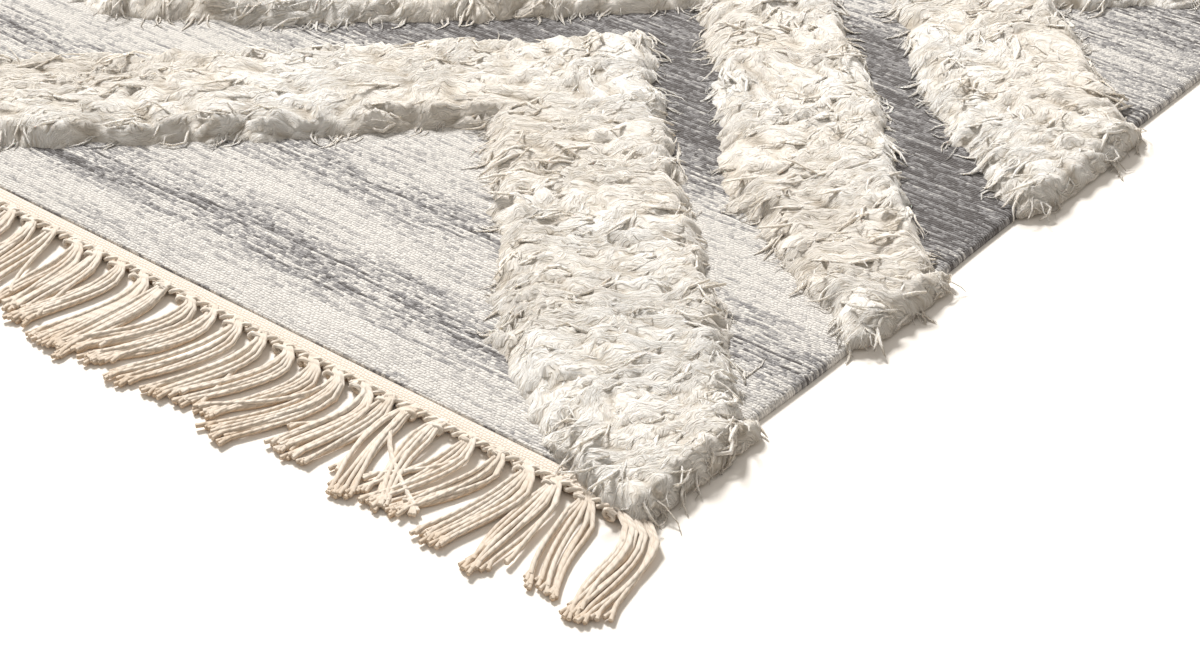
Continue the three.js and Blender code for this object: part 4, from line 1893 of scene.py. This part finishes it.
    def build_cords(self, tree: bpy.types.NodeTree, material: bpy.types.Material) -> bpy.types.Object:
        """Makes every cord of this end's fringe as one mesh.

        Args:
            tree: the tree that turns paths into cords.
            material: the plied cotton.

        Returns:
            The finished piece.
        """
        curve = bpy.data.curves.new("cord_paths", "CURVE")
        curve.dimensions = "3D"
        paths = [self.twine(0), self.twine(1)]
        for number in range(self.tassels):
            paths.append(self.knot(number))
            paths.extend(self.bundle(number))
        for path in paths:
            spline = curve.splines.new("POLY")
            spline.points.add(len(path) - 1)
            co = np.concatenate([path[:, :3] * MM, np.ones((len(path), 1))], axis=1)
            spline.points.foreach_set("co", co.ravel())
            spline.points.foreach_set("radius", path[:, 3].copy())
        name = f"{Piece.FRINGE.value}_{self.end.name.lower()}"
        radius = self.cord_radius * MM
        source = new_object("cord_paths", curve)
        piece = grow(source, tree, name, Radius=radius, Sides=self.cord_sides, Finish=material)
        spot = np.zeros(len(piece.data.vertices) * 3, np.float32)
        piece.data.vertices.foreach_get("co", spot)
        spot = spot.reshape(-1, 3)
        spot[:, 2] = np.maximum(spot[:, 2], 0.0)
        piece.data.vertices.foreach_set("co", spot.ravel())
        spot = spot / MM
        edge = self.pattern.length / 2
        # The tone: random beige, plus painted shade that darkens the cords towards their cut ends.
        beige = 0.5 + 0.5 * value_noise(spot[:, 0], spot[:, 1], 6, seed=61)
        beige += smoothstep(np.abs(spot[:, 1]), edge + 50, edge + self.reach)
        tone = piece.data.attributes.new("tone", "FLOAT", "POINT")
        tone.data.foreach_set("value", beige.astype(np.float32))
        return finish_piece(piece, f"fringe_{self.end.name.lower()}")

    def build_web(self, material: bpy.types.Material) -> bpy.types.Object:
        """Makes the heading's narrow cotton web as one rounded strip.

        Args:
            material: the cotton weave.

        Returns:
            The finished piece.
        """
        outer = self.pattern.length / 2
        inner = outer - self.pattern.heading - 0.2
        half = self.pattern.width / 2 - 1
        steps = self.web_steps
        parts = MeshParts.empty()
        for i in range(steps + 1):
            x = -half + 2 * half * i / steps
            sway = 0.5 * float(value_noise(np.array(x), np.array(0.0), 30, seed=71))
            for across, rise in self.web_section:
                y = self.end.value * (inner + (outer - inner) * across + (sway if across > 0.9 else 0))
                parts.points.append((x, y, self.web_thick * rise))
        ring = len(self.web_section)
        for i in range(steps):
            for k in range(ring):
                a, b = i * ring + k, i * ring + (k + 1) % ring
                parts.faces.append((a, b, b + ring, a + ring))
        parts.faces.append(tuple(range(ring)))
        parts.faces.append(tuple(steps * ring + k for k in range(ring)))
        name = f"{Piece.HEADING.value}_{self.end.name.lower()}"
        mesh = parts.mesh(name)
        face_out(mesh)
        mesh.materials.append(material)
        return finish_piece(new_object(name, mesh), f"fringe_{self.end.name.lower()}")


# Floor, light and camera


@dataclass(frozen=True)
class Studio:
    """A white floor under soft light from the upper left, and the camera at the photograph's angle.

    The camera's place is in millimetres from the rug's near corner, and its angles are in degrees. The
    floor's and the lamp's sizes and places are in metres.
    """

    lens: float = 74.22
    height: float = 733.6
    outside: float = 582.1
    before: float = 743.8
    tilt: float = 33.61
    heading: float = 39.21
    floor_size: float = 6.0
    floor_dark: tuple = colour(250, 244, 236)
    floor_light: tuple = colour(252, 246, 238)
    fill: float = 0.45
    fill_colour: tuple = (1.0, 0.955, 0.895, 1.0)
    key: float = 3350.0
    key_size: float = 3.3
    key_colour: tuple = (1.0, 0.995, 0.985)
    key_target: tuple = (0.3, -0.5, 0.0)
    key_offset: tuple = (-9.9, 5.4, 9.9)

    def floor(self) -> None:
        """Lays the pale floor, which isn't part of the rug."""
        size = self.floor_size
        mesh = bpy.data.meshes.new("floor")
        corners = [(-size, -size, 0), (size, -size, 0), (size, size, 0), (-size, size, 0)]
        mesh.from_pydata(corners, [], [(0, 1, 2, 3)])
        material = bpy.data.materials.new("floor_white")
        material.use_nodes = True
        shader = material.node_tree.nodes["Principled BSDF"]
        nodes = Nodes(material.node_tree)
        speck = nodes.noise(nodes.place(), 3.0)
        nodes.put(shader.inputs["Base Color"], nodes.mix(speck, self.floor_dark, self.floor_light))
        shader.inputs["Roughness"].default_value = 0.9
        mesh.materials.append(material)
        obj = new_object("floor", mesh)
        obj.location.z = -0.0002

    def lights(self) -> None:
        """Sets a bright white surround and a soft key light from the upper left."""
        world = bpy.data.worlds.new("surround")
        bpy.context.scene.world = world
        world.use_nodes = True
        background = world.node_tree.nodes["Background"]
        background.inputs["Color"].default_value = self.fill_colour
        background.inputs["Strength"].default_value = self.fill
        key = bpy.data.lights.new("key", "AREA")
        key.shape = "DISK"
        key.size = self.key_size
        key.energy = self.key
        key.color = self.key_colour
        lamp = new_object("key", key)
        target = Vector(self.key_target)
        lamp.location = target + Vector(self.key_offset)
        lamp.rotation_euler = (target - lamp.location).to_track_quat("-Z", "Y").to_euler()

    def camera(self, pattern: Pattern) -> None:
        """Places the camera where the photograph was taken from.

        Args:
            pattern: the rug, for its near corner.
        """
        data = bpy.data.cameras.new("camera")
        data.sensor_width = 36.0
        data.lens = self.lens
        data.clip_start = 0.01
        camera = new_object("camera", data)
        x = pattern.width / 2 + self.outside
        y = -pattern.length / 2 + pattern.heading - self.before
        camera.location = Vector((x, y, self.height)) * MM
        turn, dip = math.radians(self.heading), math.radians(self.tilt)
        level = math.cos(dip)
        ahead = Vector((-math.sin(turn) * level, math.cos(turn) * level, -math.sin(dip)))
        camera.rotation_euler = ahead.to_track_quat("-Z", "Y").to_euler()
        bpy.context.scene.camera = camera


def main() -> None:
    """Builds the rug on its floor, in order."""
    logging.basicConfig(level=logging.INFO, format="%(message)s")
    bpy.context.scene.view_settings.view_transform = "Standard"
    pattern = Pattern()
    studio = Studio()
    studio.camera(pattern)
    studio.lights()
    studio.floor()
    weave, fleece = weft_weave_group(), fleece_group()
    GroundCloth(pattern).build(GroundFinish("ground_weave").build(weave))
    pile = Pile(pattern)
    wool = PileFinish("pile_yarn").build(fleece, around=4.0 * pile.yarn, length=pile.yarn_length)
    pile.build(PileFinish("pile_bed").build_bed(fleece), wool)
    cotton = CottonFinish("cotton")
    cord, web = cotton.build_cord(), cotton.build_web(weave)
    cords = cord_tree()
    for end in End:
        fringe = Fringe(pattern, end)
        fringe.build_web(web)
        fringe.build_cords(cords, cord)


if __name__ == "__main__":
    main()
